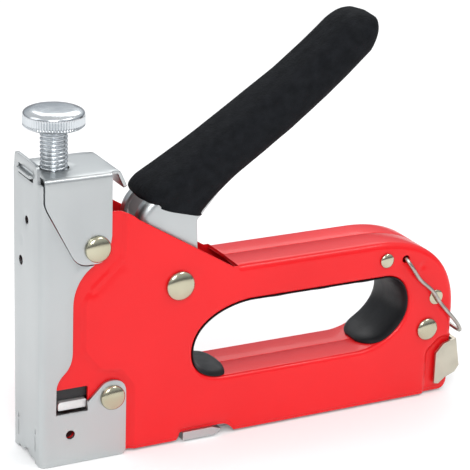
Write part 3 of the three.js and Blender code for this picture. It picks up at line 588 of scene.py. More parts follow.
def black_foam():
    look = Look("black_foam", Metallic=0.0, Specular_IOR_Level=0.14)
    look.colour(look.noise(300, 4), (0.0045, 0.0052, 0.0065), (0.0095, 0.0105, 0.0130), ends=(0.3, 0.75))
    look.rough(look.noise(240, 4), 0.78, 0.92)
    return look.bump(look.cells(1300), 0.0005, 0.35).bump(look.noise(420, 5), 0.0006, 0.30).material


def black_rubber():
    look = Look("black_rubber", Metallic=0.0, Specular_IOR_Level=0.3)
    look.colour(look.noise(120, 3), (0.0050, 0.0055, 0.0065), (0.0085, 0.0090, 0.0105))
    look.rough(look.noise(200, 4), 0.38, 0.52)
    return look.bump(look.noise(700, 3), 0.0003, 0.12).material


def black_plastic():
    look = Look("black_plastic", Metallic=0.0)
    look.colour(look.noise(120, 3), (0.0055, 0.0055, 0.0065), (0.0100, 0.0100, 0.0110))
    look.rough(look.noise(260, 3), 0.36, 0.48)
    return look.bump(look.noise(900, 2), 0.0002, 0.10).material


def floor_paint():
    look = Look("floor", Metallic=0.0, Specular_IOR_Level=0.2)
    look.colour(look.noise(3, 3), (0.86, 0.86, 0.86), (0.88, 0.88, 0.88))
    look.rough(look.noise(5, 2), 0.8, 0.9)
    look.shader.inputs["Emission Color"].default_value = (1, 1, 1, 1)
    look.shader.inputs["Emission Strength"].default_value = 0.13
    return look.material


MATERIALS = {make.__name__: make() for make in (
    red_paint, satin_chrome, bright_zinc, nickel_plate, satin_nickel, plain_steel, bail_steel,
    bar_steel, black_foam, black_rubber, black_plastic)}
BODY_OF = {node: body for body, nodes in frame["record"]["behaviour"]["bodies"].items()
           for node in nodes}


def paint(piece, look):
    """Gives a piece its material."""
    piece.data.materials.clear()
    piece.data.materials.append(MATERIALS[look])
    return piece


def dress(piece, look, node):
    """Finishes a piece that stands for a CAD node."""
    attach(piece, BODY_OF[node])
    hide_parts(node)
    return paint(piece, look)


# ---- body shells
def body_outline():
    """Outer edge of the body sheets, from the foot at the front round to the top of the nose."""
    rear, top = BODY_REAR, HANDLE_TOP
    return closed(trace(
        (BODY_FRONT, BODY_BOTTOM),
        [(54.6, BODY_BOTTOM)],
        [(55.6, BODY_BOTTOM + 0.4), (56.2, 4.6)],
        [(57.4, 5.0)],
        [(74.0, 5.0)],
        [(76.5, 4.9), (78.6, BODY_BOTTOM)],
        [(rear - 4, BODY_BOTTOM)],
        [(rear, BODY_BOTTOM), (rear, BODY_BOTTOM + 5)],
        [(rear, top - 31)],
        [(rear, top - 12.5), (rear - 12.5, top), (rear - 37, top)],
        [(FLANGE_X + 0.1, top)],
        [(FLANGE_X - 0.1, top)],
        [(SHOULDER_END_X, top)],
        [(SHOULDER_X + 2, BODY_NOSE_TOP - 4.2)],
        [(SHOULDER_X - 2.5, BODY_NOSE_TOP), (SHOULDER_X - 7, BODY_NOSE_TOP)],
        [(BODY_FRONT, BODY_NOSE_TOP)],
        [(BODY_FRONT, BODY_BOTTOM)],
    ))


def loop_outline(pitch=1.0):
    """The finger loop's edge in the body sheets."""
    f, r, t, b = LOOP_FRONT, LOOP_REAR, LOOP_TOP, LOOP_BOTTOM
    return closed(trace(
        (f + 14, b),
        [(r - 22, b)],
        [(r - 11, b), (r, b + 8), (r, b + 17)],
        [(r, t - 5), (r - 4, t), (r - 11, t)],
        [(f + 24, t)],
        [(f + 12, t - 0.8), (f, t - 7), (f, t - 18)],
        [(f, b + 5), (f + 4, b), (f + 14, b)],
        pitch=pitch,
    ))


NOSE_STEP = rounded([(-5, -5, 0), (36.5, -5, 0), (36.5, 26, 4), (31.5, 33.2, 3), (23.5, 34.2, 5),
                     (17.0, 42.5, 6), (17.0, 61.5, 6), (20.5, 66.8, 4), (32.2, 77.0, 5),
                     (32.8, 100, 0), (-5, 100, 0)])
CAP_STEP = rounded([(163.0, -5, 0), (180, -5, 0), (180, CAP_TOP, 0), (169, CAP_TOP, 3),
                    (163.0, 18.5, 4)])
STEP_WIDTH = 1.9  # run of each step in the sheets
CAP_STEP_DEPTH = 1.5
GROOVE, GROOVE_DEPTH = ((21.0, 64.6), (31.2, 74.2)), 0.6  # pressed in beside the nose
DIMPLE, DIMPLE_DEPTH = (159.0, 55.4), 0.5
HOLLOW, HOLLOW_DEPTH = ((57.5, 4.0), (74.5, 4.0)), 0.7  # at the thumb catch


def body_relief(points):
    """How far the body sheet lies below its outer face, in mm."""
    nose = smooth_step(depth_in(points, NOSE_STEP) / STEP_WIDTH + 0.5)
    cap = smooth_step(depth_in(points, CAP_STEP) / STEP_WIDTH + 0.5)
    groove = GROOVE_DEPTH * dent(points, *GROOVE, 0.4, 2.2) * (1 - 0.6 * nose)
    dimple = DIMPLE_DEPTH * dent(points, DIMPLE, DIMPLE, 0.3, 2.0)
    hollow = HOLLOW_DEPTH * dent(points, *HOLLOW, 0.5, 4.5)
    step = np.maximum(nose * JOGGLE, cap * CAP_STEP_DEPTH)
    return np.minimum(step + groove + dimple + hollow, CAP_STEP_DEPTH)


def relief_guides():
    """Lines of mesh points across the steps, round the dimple and along the groove."""
    guides = [offset(step, shift) for step in (NOSE_STEP, CAP_STEP) for shift in (-1.4, -0.5, 0.5, 1.4)]
    guides += [circle(*DIMPLE, r, 14) for r in (0.5, 1.3, 2.2, 3.0)]
    start, end = Vector(GROOVE[0]), Vector(GROOVE[1])
    side = (end - start).normalized().orthogonal()
    return guides + [trace(start + side * s, [end + side * s], pitch=0.8) for s in (-2, -1, 0, 1, 2)]


def rolled_rings(outline, radii, drops, steps=5):
    """Rings from a panel's edge down its rolled edge and flange: (points, depth below the face)."""
    rings = []
    for k in range(steps, -1, -1):
        angle = (1 - k / steps) * pi / 2
        inset = [r * (1 - sin(angle)) for r in radii]
        rings.append((offset(outline, inset), [r * (1 - cos(angle)) for r in radii]))
    rings.append((outline, drops))
    return rings


def pressed_sheet(name, half, thickness, edges, holes, guides, relief=None, folded=False):
    """Panel with rolled edges on the near side, or on both sides if folded."""
    flat, faces, index = fill(edges[0][0][0], [e[0][0] for e in edges[1:]] + holes, guides)

    def below(points):
        return relief(np.array(points, float)) if relief else np.zeros(len(points))

    verts = [(x, -half + d, z) for (x, z), d in zip(flat, below(flat))]
    for rings, last in zip(edges, index):
        for ring, depths in rings[1:]:
            start = len(verts)
            verts += [(p.x, min(-half + b + d, -SEAM_HALF * (not folded)), p.y)
                      for p, b, d in zip(ring, below(ring), depths)]
            current = range(start, len(verts))
            for i in range(len(ring)):
                j = (i + 1) % len(ring)
                faces.append((last[i], current[i], current[j], last[j]))
            last = current
    if folded:
        verts, faces = both_sides(verts, faces)
    sheet = add_mesh(name, [place(*v) for v in verts], faces)
    if folded:
        weld(sheet, 0.01)
    return thicken(sheet, thickness)


def near_shell():
    """Body sheet with flanges to the seam along the handle, down the rear and round the loop."""
    outline, loop = body_outline(), loop_outline()[::-1]
    flange = BODY_HALF - SEAM_HALF

    def rolls(p):
        on_handle = p.x > FLANGE_X and p.y > FLANGE_LOW
        on_rear = p.x > BODY_REAR - 0.1 and p.y > CAP_TOP
        return on_handle or on_rear

    outer = rolled_rings(outline, [BODY_BEND if rolls(p) else PLAIN_BEND for p in outline],
                         [flange if rolls(p) else PLAIN_BEND for p in outline])
    inner = rolled_rings(loop, [LOOP_BEND] * len(loop), [flange] * len(loop))
    holes = [rectangle(*WINDOW, (0.4, 0.4, 0.8, 0.4)), circle(*BAIL_HOLE, BAIL_HOLE_R),
             circle(*SIDE_HOLE, SIDE_HOLE_R + GAP)]
    guides = [offset(edge[0][0], 0.7) for edge in (outer, inner)] + relief_guides()
    return pressed_sheet("near_body_shell", BODY_HALF, BODY_T, [outer, inner], holes, guides, body_relief)


# ---- lever
LEVER_HALF = extent("lever_frame")[1].y
LEVER_T = 1.5
LEVER_BEND = 3.2
LEVER_SLOT_HALF = 4.6  # half width of the open front below the web
LEVER_WEB_Z = 96.4  # lower end of the web
ARM_TOP = 67.2  # the rolled edges start above the arms
FRONT_EDGE_X = 48.0  # the front edge lies before this
ROLL_END_X = 92.0  # the top edge is rolled up to here
PIVOT, PIVOT_EYE_R = (54.6, 63.0), 5.2


def lever_channel():
    """Folded lever: two cheeks joined by a web at the front, with arms on to the striker."""
    outline = closed(trace(
        (62.4, 86.0),
        [(68, 92.5), (74.5, 99.8)],
        [(82, 106), (92, 111.8)],
        [(113, 128)],
        [(125, 138.5), (131, 145)],
        [(133.5, 149), (131.5, 152)],
        [(126, 153), (119, 147)],
        [(108, 137), (96, 128.5)],
        [(64, 107.8)],
        [(48, 97.8)],
        [(45.9, 96.6)],
        [(45.6, 96.4)],
        [(40.5, 93.0), (39.6, 87.5)],
        [(45.6, 67.4)],
        [(45.4, 67.0)],
        [(44.9, 64.6)],
        [(11.5, 57.0)],
        [(13.0, 50.3)],
        [(50.6, 58.4)],
        [(56.4, 50.4), (62.6, 58.0)],
        [(64.6, 62.0), (63.2, 67.0)],
        [(62.4, 86.0)],
    ))

    def rolls(p):
        above_middle = p.y > 0.66 * p.x + 64
        return p.y > ARM_TOP and (p.x < FRONT_EDGE_X or (p.x < ROLL_END_X and above_middle))

    def drop(p):
        return LEVER_HALF if p.y > LEVER_WEB_Z + 0.1 else LEVER_HALF - LEVER_SLOT_HALF

    edge = rolled_rings(outline, [LEVER_BEND if rolls(p) else PLAIN_BEND for p in outline],
                        [drop(p) if rolls(p) else PLAIN_BEND for p in outline])
    return pressed_sheet("lever_channel", LEVER_HALF, LEVER_T, [edge], [circle(*PIVOT, PIVOT_EYE_R)],
                         [offset(edge[0][0], 0.7)], folded=True)


# ---- nose
SIDE_START = NOSE_OUT - NOSE_BEND + NOSE_BEND * pi / 2  # from the middle to a side plate
UPPER_HOLE, UPPER_HOLE_R = (0, 91.2), 1.5  # in the front plate
LOWER_HOLE, LOWER_HOLE_R = (5.5, 74.3), 1.8
PLATE_DIMPLE = (4.0, 83.0)
DISHES = [(UPPER_HOLE, 4.2, 0.5), (LOWER_HOLE, 4.2, 0.4), (PLATE_DIMPLE, 2.6, 0.35)]
DISH_RINGS = (1, 2.2, 3.2, 4.3)  # mesh rings round each dish
TAB_SLOT = ((-7, 106.8), (7, 110.6))
SLIT = ((-0.22, 4.7), (0.22, 10.9))
NICK = [(-0.5, 11.6, 0.2), (0.5, 11.6, 0.2), (-0.35, 14.2, 0.1)]  # mark above each slit
SLIT_OFFSET = 8.1  # slits and nicks from the middle


def nose_u(x):
    """Distance round the folded nose from its middle to a depth x on the side plate."""
    if x >= NOSE_BEND:
        return SIDE_START + x - NOSE_BEND
    return NOSE_OUT - NOSE_BEND + NOSE_BEND * acos(1 - max(x, 0) / NOSE_BEND)


def nose_point(u, z, below=0.0):
    """Point on the folded nose's outer face, moved inwards by below."""
    side = copysign(1, u)
    run = abs(u) - (NOSE_OUT - NOSE_BEND)
    if run <= 0:
        return below, u, z
    if run >= NOSE_BEND * pi / 2:
        return NOSE_BEND + run - NOSE_BEND * pi / 2, side * (NOSE_OUT - below), z
    angle = run / NOSE_BEND
    r = NOSE_BEND - below
    return NOSE_BEND - r * cos(angle), side * (NOSE_OUT - NOSE_BEND + r * sin(angle)), z


def nose_side():
    """Free edge of one side plate, from the foot at the front round to the top."""
    line = trace(
        (NOSE_BEND, 0),
        [(NOSE_DEPTH - 1.6, 0)],
        [(NOSE_DEPTH - 0.3, 0.2), (NOSE_DEPTH, 1.8)],
        [(NOSE_DEPTH, 24.5)],
        [(NOSE_DEPTH, 29.9), (NOSE_DEPTH - 5.4, 30.2)],
        [(NOSE_DEPTH - 7.9, 30.2), (NOSE_DEPTH - 9.4, 28.9)],
        [(18.4, 23.3)],
        [(18.4, 20.0)],
        [(6.0, 20.0)],
        [(6.2, 30.7)],
        [(6.6, 33.4), (9.2, 35.8)],
        [(12.4, 38.6), (12.4, 44)],
        [(12.5, 61.0)],
        [(12.6, 68.4), (17.4, 73.4)],
        [(18.6, 74.6), (20.6, 75.8)],
        [(18.4, 75.8)],
        [(14.2, 75.9), (12.0, 79.9)],
        [(2.5, 97.7)],
        [(1.6, 99.6), (1.35, 101)],
        [(1.35, NOSE_SHOULDER - 0.6)],
    )
    return [Vector((nose_u(p.x), p.y)) for p in line]


def nose_relief(points):
    """Shallow dishes in the front plate, round its two holes and one dimple."""
    return sum(depth * dent(points, centre, centre, 0, size) for centre, size, depth in DISHES)


def nose_outline():
    """The unfolded nose, from its foot round one side plate to the tab and back round the other."""
    side = nose_side()
    top = trace(side[-1], [(side[-1].x - 0.7, NOSE_SHOULDER)], [(NOSE_TAB_HALF + 0.8, NOSE_SHOULDER)],
                [(NOSE_TAB_HALF, NOSE_SHOULDER), (NOSE_TAB_HALF, NOSE_SHOULDER + 0.8)],
                [(NOSE_TAB_HALF - 0.6, NOSE_TAB_TOP - 1.4)],
                [(NOSE_TAB_HALF - 0.8, NOSE_TAB_TOP), (NOSE_TAB_HALF - 2.4, NOSE_TAB_TOP)],
                [(0, NOSE_TAB_TOP)])[1:]
    foot = trace((0, 3.0), [(1.9, 2.7), (2.4, 1.3)], [(7.2, 1.3)], [(7.9, 1.2), (8.1, 0.0)],
                 [(side[0].x, 0)], pitch=0.6)
    right = foot[:-1] + side + top
    left = [Vector((-p.x, p.y)) for p in right][::-1]
    return closed(right[:-1] + left[:-1])


def front_housing():
    """Folded nose, cut out flat with its holes and then bent."""
    holes = [rectangle(*TAB_SLOT, [0.8] * 4), circle(*UPPER_HOLE, UPPER_HOLE_R),
             circle(*LOWER_HOLE, LOWER_HOLE_R)]
    slit, nick = rectangle(*SLIT, [0] * 4), rounded(NICK, pitch=0.5)
    for side in (-1, 1):
        holes += [[p + Vector((SLIT_OFFSET * side, 0)) for p in part] for part in (slit, nick)]
        holes.append(circle(side * nose_u(SIDE_HOLE[0]), SIDE_HOLE[1], SIDE_HOLE_R))
    bends = [trace((s * u, 1), [(s * u, NOSE_SHOULDER - 1.6)], pitch=2.0) for s in (-1, 1)
             for u in np.linspace(NOSE_OUT - NOSE_BEND, SIDE_START, 7)]
    dishes = [circle(*centre, radius, 20) for centre, _, _ in DISHES for radius in DISH_RINGS]
    flat, faces, _ = fill(nose_outline(), holes, bends + dishes, pitch=3.0)
    verts = [place(*nose_point(u, z, below)) for (u, z), below in zip(flat, nose_relief(flat))]
    housing = add_mesh("nose_housing", verts, [f[::-1] for f in faces])
    return thicken(housing, NOSE_T)


def bracket_point(x, v):
    """Point on the folded bracket's outer face, from its flat pattern."""
    flat_half = NOSE_OUT - BRACKET_BEND
    run = abs(v) - flat_half
    side = copysign(1, v)
    if run > 0:
        angle = min(run / BRACKET_BEND, pi / 2)
        down = max(run - BRACKET_BEND * pi / 2, 0)
        y = flat_half + BRACKET_BEND * sin(angle)
        return x, side * y, BRACKET_TOP - BRACKET_BEND * (1 - cos(angle)) - down
    over = x - BRACKET_LIP_X
    if over <= 0:
        return x, v, BRACKET_TOP
    angle = min(over / BRACKET_LIP_BEND, BRACKET_LIP_FALL)
    rest = over - angle * BRACKET_LIP_BEND
    return (BRACKET_LIP_X + BRACKET_LIP_BEND * sin(angle) + rest * cos(BRACKET_LIP_FALL), v,
            BRACKET_TOP - BRACKET_LIP_BEND * (1 - cos(angle)) - rest * sin(BRACKET_LIP_FALL))


def top_bracket():
    """Folded cap on the nose: a lobe down each side, a rear lip and a front tongue."""
    side_run = NOSE_OUT - BRACKET_BEND + BRACKET_BEND * pi / 2

    def down(z):
        return side_run + BRACKET_TOP - BRACKET_BEND - z

    lip_end = BRACKET_LIP_X + BRACKET_LIP_BEND * BRACKET_LIP_FALL + BRACKET_LIP_LENGTH
    lip_half = NOSE_OUT - BRACKET_BEND - GAP
    side = trace(
        (1.9, NOSE_OUT - BRACKET_BEND),
        [(1.9, down(101))],
        [(2.0, down(99.6)), (2.8, down(98))],
        [(12.0, down(80.2))],
        [(14.2, down(76.3)), (18.2, down(76.2))],
        [(21.5, down(76.2))],
        [(26.2, down(76.4)), (26.7, down(82))],
        [(BRACKET_REAR, down(86))],
        [(BRACKET_REAR, lip_half + 1.4)],
        [(BRACKET_REAR, lip_half + 0.2), (BRACKET_REAR + 1, lip_half)],
        [(lip_end - 1.6, lip_half)],
        [(lip_end, lip_half), (lip_end, lip_half - 1.6)],
        [(lip_end, 0)],
    )
    front = trace((-1.2, 0), [(-1.2, 5.6)], [(-1.2, 6.4), (-0.4, 6.4)], [(1.0, 6.4)],
                  [(1.9, 6.4), (1.9, 7.0)], [(1.9, NOSE_OUT - BRACKET_BEND)])
    half = front[:-1] + side
    other = [Vector((p.x, -p.y)) for p in half][::-1]
    outline = closed(half[:-1] + other[:-1])[::-1]
    hole = circle(SCREW_X, 0, SCREW_R + 0.4, 40)
    folds = [trace((2, s * v), [(BRACKET_REAR - 0.5, s * v)], pitch=2.0) for s in (-1, 1)
             for v in np.linspace(NOSE_OUT - BRACKET_BEND, side_run, 6)]
    folds += [trace((x, -lip_half), [(x, lip_half)], pitch=2.0)
              for x in np.linspace(BRACKET_LIP_X, BRACKET_LIP_X + BRACKET_LIP_BEND * BRACKET_LIP_FALL, 6)]
    flat, faces, _ = fill(outline, [hole], folds, pitch=3.0)
    bracket = add_mesh("nose_bracket", [place(*bracket_point(x, v)) for x, v in flat], faces)
    return thicken(bracket, NOSE_T)


# ---- screw, knob and rivets
def thread_ripple(angle, height):
    """Thread form: crests at the full radius and rounded roots."""
    turn = (height / THREAD_PITCH - angle / (2 * pi)) % 1.0
    root = 0.5 + 0.5 * cos(2 * pi * turn)
    run_in = min(1, (height - SCREW_LOW.z) / THREAD_PITCH)
    return -THREAD_DEPTH * root ** 1.6 * run_in


def adjusting_screw():
    """Threaded screw with a chamfer round its foot."""
    low, high = SCREW_LOW.z, SCREW_HIGH.z
    count = round((high - low) / (THREAD_PITCH / 10))
    profile = [(SCREW_R - SCREW_CHAMFER * max(0, 1 - i / 8), low + (high - low) * i / count)
               for i in range(count + 1)]
    return turned("screw_thread", profile, 56, thread_ripple, centre=(SCREW_X, 0, 0))


def adjusting_knob():
    """Round knob with a knurled rim, a hollow underside and a slightly domed top."""
    low, high = KNOB_LOW.z, KNOB_HIGH.z
    rim_low, rim_high = low + 0.9, low + 4.6

    def knurl(angle, height):
        depth = smooth_step(min(height - rim_low, rim_high - height) / 0.5)
        return -KNURL_DEPTH * float(depth) * (0.5 + 0.5 * cos(KNURLS * angle))

    underside = [(SCREW_R + GAP, low + 1.2), (SCREW_R + 1.2, low + 0.8), (KNOB_R - 2.6, low),
                 (KNOB_R - 1.1, low), (KNOB_R - 0.35, low + 0.35), (KNOB_R, rim_low)]
    rim = [(KNOB_R, rim_low + (rim_high - rim_low) * i / 10) for i in range(1, 11)]
    crown = trace((KNOB_R, rim_high), [(KNOB_R, high - 0.75), (KNOB_R - 3.4, high - 0.15)],
                  [(KNOB_R - 6, high), (0.4, high)], pitch=0.5)[1:]
    profile = underside + rim + [tuple(p) for p in crown]
    return turned("knurled_knob", profile, KNURLS * 6, knurl, centre=(SCREW_X, 0, 0))


def rivet(node):
    """Through rivet: a full dome over a thin cylindrical edge on each side."""
    low, high = extent(node)
    head = (high.x - low.x) / 2
    centre = ((low.x + high.x) / 2, 0, (low.z + high.z) / 2)
    face = (NOSE_OUT if node.endswith("nose_rivet") else BODY_HALF) + RIVET_STAND
    dome = high.y - face
    edge = 0.22 * dome
    half = [(0.48 * head, face - 0.01), (head - 0.15, face), (head, face + 0.12)]
    half += [(head * cos(a), face + edge + (dome - edge) * sin(a))
             for a in (pi / 2 * i / 14 for i in range(14))]
    half.append((0.02, face + dome))
    profile = [(r, -h) for r, h in half[::-1]] + half
    return turned(node + "_domed", profile, 48, axis="Y", centre=centre)


# ---- grip and loop lining
GRIP_HALF = extent("lever_grip")[1].y
CUT_FRONT, CUT_REAR = (46.5, 92.6), (65.2, 87.4)  # the sleeve's lower end
EDGE_SLIM, EDGE_FULL = 4.5, 9.0  # how far its rounding reaches in, front and rear
EDGE_X, EDGE_RUN = 46, 5.5  # it widens from here on, by 1 in EDGE_RUN
GRIP_POWER = 2.7  # exponent of its superelliptic section
LUMP_HEIGHT, LUMP_SIZE = 0.22, 9.0  # unevenness of the foam
LINER_T = 1.7
LINER_START_X, LINER_END_X = 135.5, 77.2  # its ends on the lower side of the loop
WAVE_X, WAVE_PITCH, WAVE_DEPTH = 96, 19, 0.28  # finger waves along the top


def grip_outline():
    """Side view of the foam sleeve, from its lower end round the rear tip."""
    return closed(trace(
        CUT_REAR,
        [(72.5, 95), (79.8, 100.4)],
        [(101.6, 115.2)],
        [(115.6, 126.0)],
        [(127, 135.5), (133.5, 141.5)],
        [(138.6, 149.5), (135.8, 154.5)],
        [(130, 159), (121.6, 153.0)],
        [(110, 143), (99.8, 135.6)],
        [(61.8, 110.7)],
        [(46.0, 100.7)],
        [(38.6, 94.6), CUT_FRONT],
        [CUT_REAR],
    ))


def foam_grip():
    """Foam sleeve: a rounded section everywhere but at its cut lower end."""
    outline = grip_outline()
    cut = min(range(len(outline)), key=lambda i: (outline[i] - Vector(CUT_FRONT)).length)
    rolled = ring_lines(outline)[:cut]

    def half_width(points):
        roll = np.clip(EDGE_SLIM + (points[:, 0] - EDGE_X) / EDGE_RUN, EDGE_SLIM, EDGE_FULL)
        near = np.clip(reach(points, rolled) / roll, 0, 1)
        return GRIP_HALF * (1 - (1 - near) ** GRIP_POWER) ** (1 / GRIP_POWER)

    insets = [offset(outline, d) for d in (0.15, 0.5, 1.1, 2.0, 3.2, 4.6)]
    flat, faces, index = fill(outline, [], insets, pitch=2.0)
    lumps = [LUMP_HEIGHT * noise.noise(Vector((x / LUMP_SIZE, 0.4, z / LUMP_SIZE))) for x, z in flat]
    near = [(x, -half - lump * min(1, half / 6), z)
            for (x, z), half, lump in zip(flat, half_width(flat), lumps)]
    verts, faces = both_sides(near, faces, index[0])
    grip = add_mesh("foam_sleeve", [place(*v) for v in verts], faces)
    weld(grip, 0.02)
    ease_edges(grip, 0.5, 50)
    settle(grip, sharp=60)
    return grip


def loop_lining():
    """Soft moulded lining, crowned across its width, with shallow finger waves along the top."""
    path = loop_outline(pitch=0.9)
    normals = [b - a for a, b in zip(path, offset(path, 1.0))]
    first = min(i for i, p in enumerate(path) if p.x >= LINER_START_X)
    stations = [*range(first, len(path)), *(i for i in range(first) if path[i].x <= LINER_END_X)]
    start_fade, end_fade = 12, 7  # stations over which each end narrows
    half = BODY_HALF - 0.5
    rows = 18
    verts = []
    for k, i in enumerate(stations):
        p, n = path[i], normals[i]
        end = min(1, (k + 0.5) / start_fade, (len(stations) - k - 0.5) / end_fade)
        taper = sqrt(1 - (1 - min(1, 2 * end)) ** 2)
        width = half * (1 - (1 - end) ** 2.4) ** 0.5
        wave = 1.0
        if p.y > LOOP_TOP - 3:
            wave += WAVE_DEPTH * (cos(2 * pi * (p.x - WAVE_X) / WAVE_PITCH) - 1)
        for j in range(rows + 1):
            across = -1 + 2 * j / rows
            crown = (1 - abs(across) ** 3.2) ** 0.55
            height = GAP + 0.15 + (LINER_T - 0.2) * wave * taper * crown
            verts.append((p.x + n.x * height, across * width, p.y + n.y * height))
        for across in (1, -1):
            verts.append((p.x + n.x * GAP * 0.5, across * width, p.y + n.y * GAP * 0.5))
    lining = add_mesh("loop_lining", [place(*v) for v in verts], capped(verts, rows + 3))
    return settle(lining, sharp=50)


def nose_bar():
    """Round-cornered steel bar whose ends stand in the windows of the body sheets."""
    top = extent("nose_bar")[1].z
    outline = rectangle((WINDOW[0][0] + 0.8, top - 3.2), (WINDOW[1][0] - 0.7, top), (0.5, 0.5, 0.5, 1.4), 0.5)
    flat, faces, index = fill(outline, pitch=1.5)
    end = BODY_HALF - JOGGLE - 0.1
    verts, faces = both_sides([(x, -end, z) for x, z in flat], faces, index[0])
    bar = add_mesh("window_bar", [place(*v) for v in verts], faces)
    ease_edges(bar, 0.35, 50)
    return settle(bar, sharp=60)


# ---- wires
BAIL_R = 0.75
SPRING_WIRE_R, SPRING_TURNS = 0.8, 5


def bail_wire():
    """The lock bail: hooked into its two holes, over the pin, and joined behind the body."""
    pin = extent("bail_stop_pin")
    pin_x, pin_z = (pin[0].x + pin[1].x) / 2, (pin[0].z + pin[1].z) / 2
    low, high = extent("lock_bail")
    arm = high.y - BAIL_R
    end_x, end_z = high.x - BAIL_R, low.z + BAIL_R
    x, z = BAIL_HOLE
    half = [(x, BODY_HALF - 1.8, z), (x, BODY_HALF + 0.3, z), (x + 1.2, arm, z - 2.2),
            (x + 5.4, arm, z - 8.2), (pin_x - 3, arm, pin_z + 3.6), (pin_x + 1, arm, pin_z - 2),
            (end_x - 3, arm, end_z + 4.2), (end_x, arm - 2.4, end_z), (end_x, 0, end_z)]
    near = [(a, -b, c) for a, b, c in half]
    return tube("bail_wire", soft_path(near + half[:-1][::-1]), BAIL_R)


def main_spring():
    """Compression spring that fills the box of its CAD node."""
    low, high = extent("main_spring")
    radius = (high.x - low.x) / 2 - SPRING_WIRE_R
    middle = Vector(((low.x + high.x) / 2, 0, 0))
    turns = coil(radius, SPRING_TURNS, low.z + SPRING_WIRE_R, high.z - SPRING_WIRE_R)
    return tube("striker_spring", [p + middle for p in turns], SPRING_WIRE_R)


# ---- carried-over CAD nodes
CARRIED_SHARP = 32  # degrees from which their edges count as sharp


def carry_over(look, *nodes, width=0.25):
    """Keeps CAD nodes as they are, with eased edges and a material."""
    for node in nodes:
        piece = paint(frame["nodes"][node], look)
        if "custom_normal" in piece.data.attributes:
            piece.data.attributes.remove(piece.data.attributes["custom_normal"])
        piece.data.shade_smooth()
        piece.data.set_sharp_from_angle(angle=radians(CARRIED_SHARP))
        weld(piece, 0.005)
        ease_edges(piece, width, CARRIED_SHARP).harden_normals = True


def add_object():
    """Every piece of the staple gun."""
    shell = near_shell()
    dress(shell, "red_paint", "body_shell_near")
    dress(mirror_copy(shell, "far_body_shell"), "red_paint", "body_shell_far")
    dress(front_housing(), "satin_chrome", "front_housing")
    dress(top_bracket(), "satin_chrome", "top_bracket")
    dress(adjusting_screw(), "bright_zinc", "adjusting_screw")
    dress(adjusting_knob(), "bright_zinc", "adjusting_knob")
    for node in RIVETS:
        dress(rivet(node), "nickel_plate", node)
    dress(lever_channel(), "satin_chrome", "lever_frame")
    dress(foam_grip(), "black_foam", "lever_grip")
    dress(loop_lining(), "black_rubber", "finger_guard")
    dress(bail_wire(), "bail_steel", "lock_bail")
    dress(nose_bar(), "bar_steel", "nose_bar")
    spring = dress(main_spring(), "plain_steel", "main_spring")
    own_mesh(spring)
    carry_over("plain_steel", "screw_nut", "spring_seat_washer", "striker_blade", "striker_carrier",
               "lift_pin", "striker_guide", "lever_bush", "lever_return_spring", "magazine_core",
               "staple_pusher", "pusher_rod", "pusher_spring", "lower_nose_spacer", "rear_spacer")
    carry_over("satin_chrome", "magazine_channel", "magazine_catch", width=0.3)
    carry_over("satin_nickel", "magazine_end_cap", width=0.5)
    carry_over("black_rubber", "striker_bumper")
    carry_over("black_plastic", "guide_block", width=0.4)


# ---- stage
AZIMUTH = radians(-27.69)
ELEVATION = radians(19.89)
ROLL = radians(1.88)
DISTANCE = 0.756
LENS, SENSOR = 155.7, 36
AIM = place(83.16, 0, 74.11)
LIGHT_AIM = Vector((0.07, 0, 0.07))
FLOOR_SIDE, FLOOR_CELLS = 6.0, 12
FLOOR_GAP = 0.0002  # between the floor and the object's lowest point
SKY = [(0.0, (0.22, 0.22, 0.23)), (0.10, (0.20, 0.20, 0.22)), (0.26, (0.50, 0.54, 0.58)),
       (0.42, (0.60, 0.63, 0.66)), (0.60, (0.72, 0.73, 0.74)), (1.0, (0.80, 0.80, 0.80))]


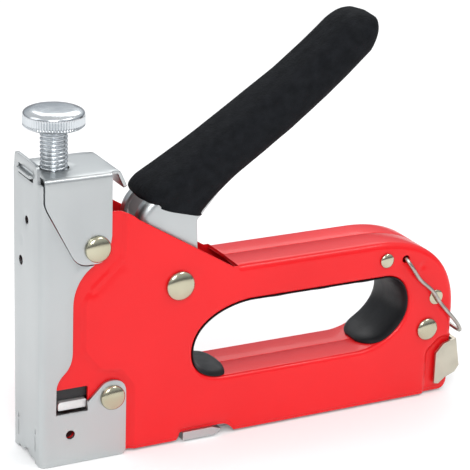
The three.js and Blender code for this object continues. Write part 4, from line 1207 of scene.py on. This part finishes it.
def add_camera():
    """Camera at the photograph's viewing angle."""
    back = Vector((sin(AZIMUTH) * cos(ELEVATION), -cos(AZIMUTH) * cos(ELEVATION), sin(ELEVATION)))
    camera = bpy.data.cameras.new("camera")
    camera.lens = LENS
    camera.sensor_width = SENSOR
    holder = add("camera", camera)
    facing = (-back).to_track_quat("-Z", "Y").to_matrix() @ Matrix.Rotation(ROLL, 3, "Z")
    holder.matrix_world = Matrix.Translation(AIM + back * DISTANCE) @ facing.to_4x4()
    camera.clip_start, camera.clip_end = 0.01, 20
    bpy.context.scene.camera = holder


def add_light(name, position, size, power):
    """Soft rectangular lamp that faces the object."""
    lamp = bpy.data.lights.new(name, "AREA")
    lamp.shape = "RECTANGLE"
    lamp.size, lamp.size_y = size
    lamp.energy = power
    holder = add(name, lamp)
    holder.location = position
    toward = LIGHT_AIM - Vector(position)
    holder.rotation_euler = toward.to_track_quat("-Z", "Y").to_euler()


def add_floor():
    low = cad_box[0].z - FLOOR_GAP
    steps = [(-0.5 + i / FLOOR_CELLS) * FLOOR_SIDE for i in range(FLOOR_CELLS + 1)]
    verts = [(x, y, low) for y in steps for x in steps]
    row = FLOOR_CELLS + 1
    corners = [r * row + c for r in range(FLOOR_CELLS) for c in range(FLOOR_CELLS)]
    floor = add_mesh("floor", verts, [(i, i + 1, i + row + 1, i + row) for i in corners])
    floor.data.materials.append(floor_paint())


def add_sky():
    """World that is dim at the horizon and bright at the top."""
    world = bpy.data.worlds.new("studio")
    bpy.context.scene.world = world
    world.use_nodes = True
    nodes, links = world.node_tree.nodes, world.node_tree.links
    direction = nodes.new("ShaderNodeTexCoord").outputs["Generated"]
    split = nodes.new("ShaderNodeSeparateXYZ")
    ramp = nodes.new("ShaderNodeValToRGB")
    set_stops(ramp, SKY)
    links.new(direction, split.inputs["Vector"])
    links.new(split.outputs["Z"], ramp.inputs["Fac"])
    links.new(ramp.outputs["Color"], nodes["Background"].inputs["Color"])


def add_stage():
    add_floor()
    add_sky()
    add_light("key", (-0.45, -1.0, 0.9), (0.6, 0.6), 8)
    add_light("strip", (0.52, -0.42, 0.95), (0.5, 0.16), 2.6)
    add_light("fill", (-0.9, 0.2, 0.7), (0.6, 0.9), 2.2)
    add_light("rim", (0.5, 0.8, 0.9), (0.8, 0.5), 3)
    bpy.context.scene.view_settings.view_transform = "Standard"


add_camera()
add_stage()
add_object()
bpy.context.view_layer.update()
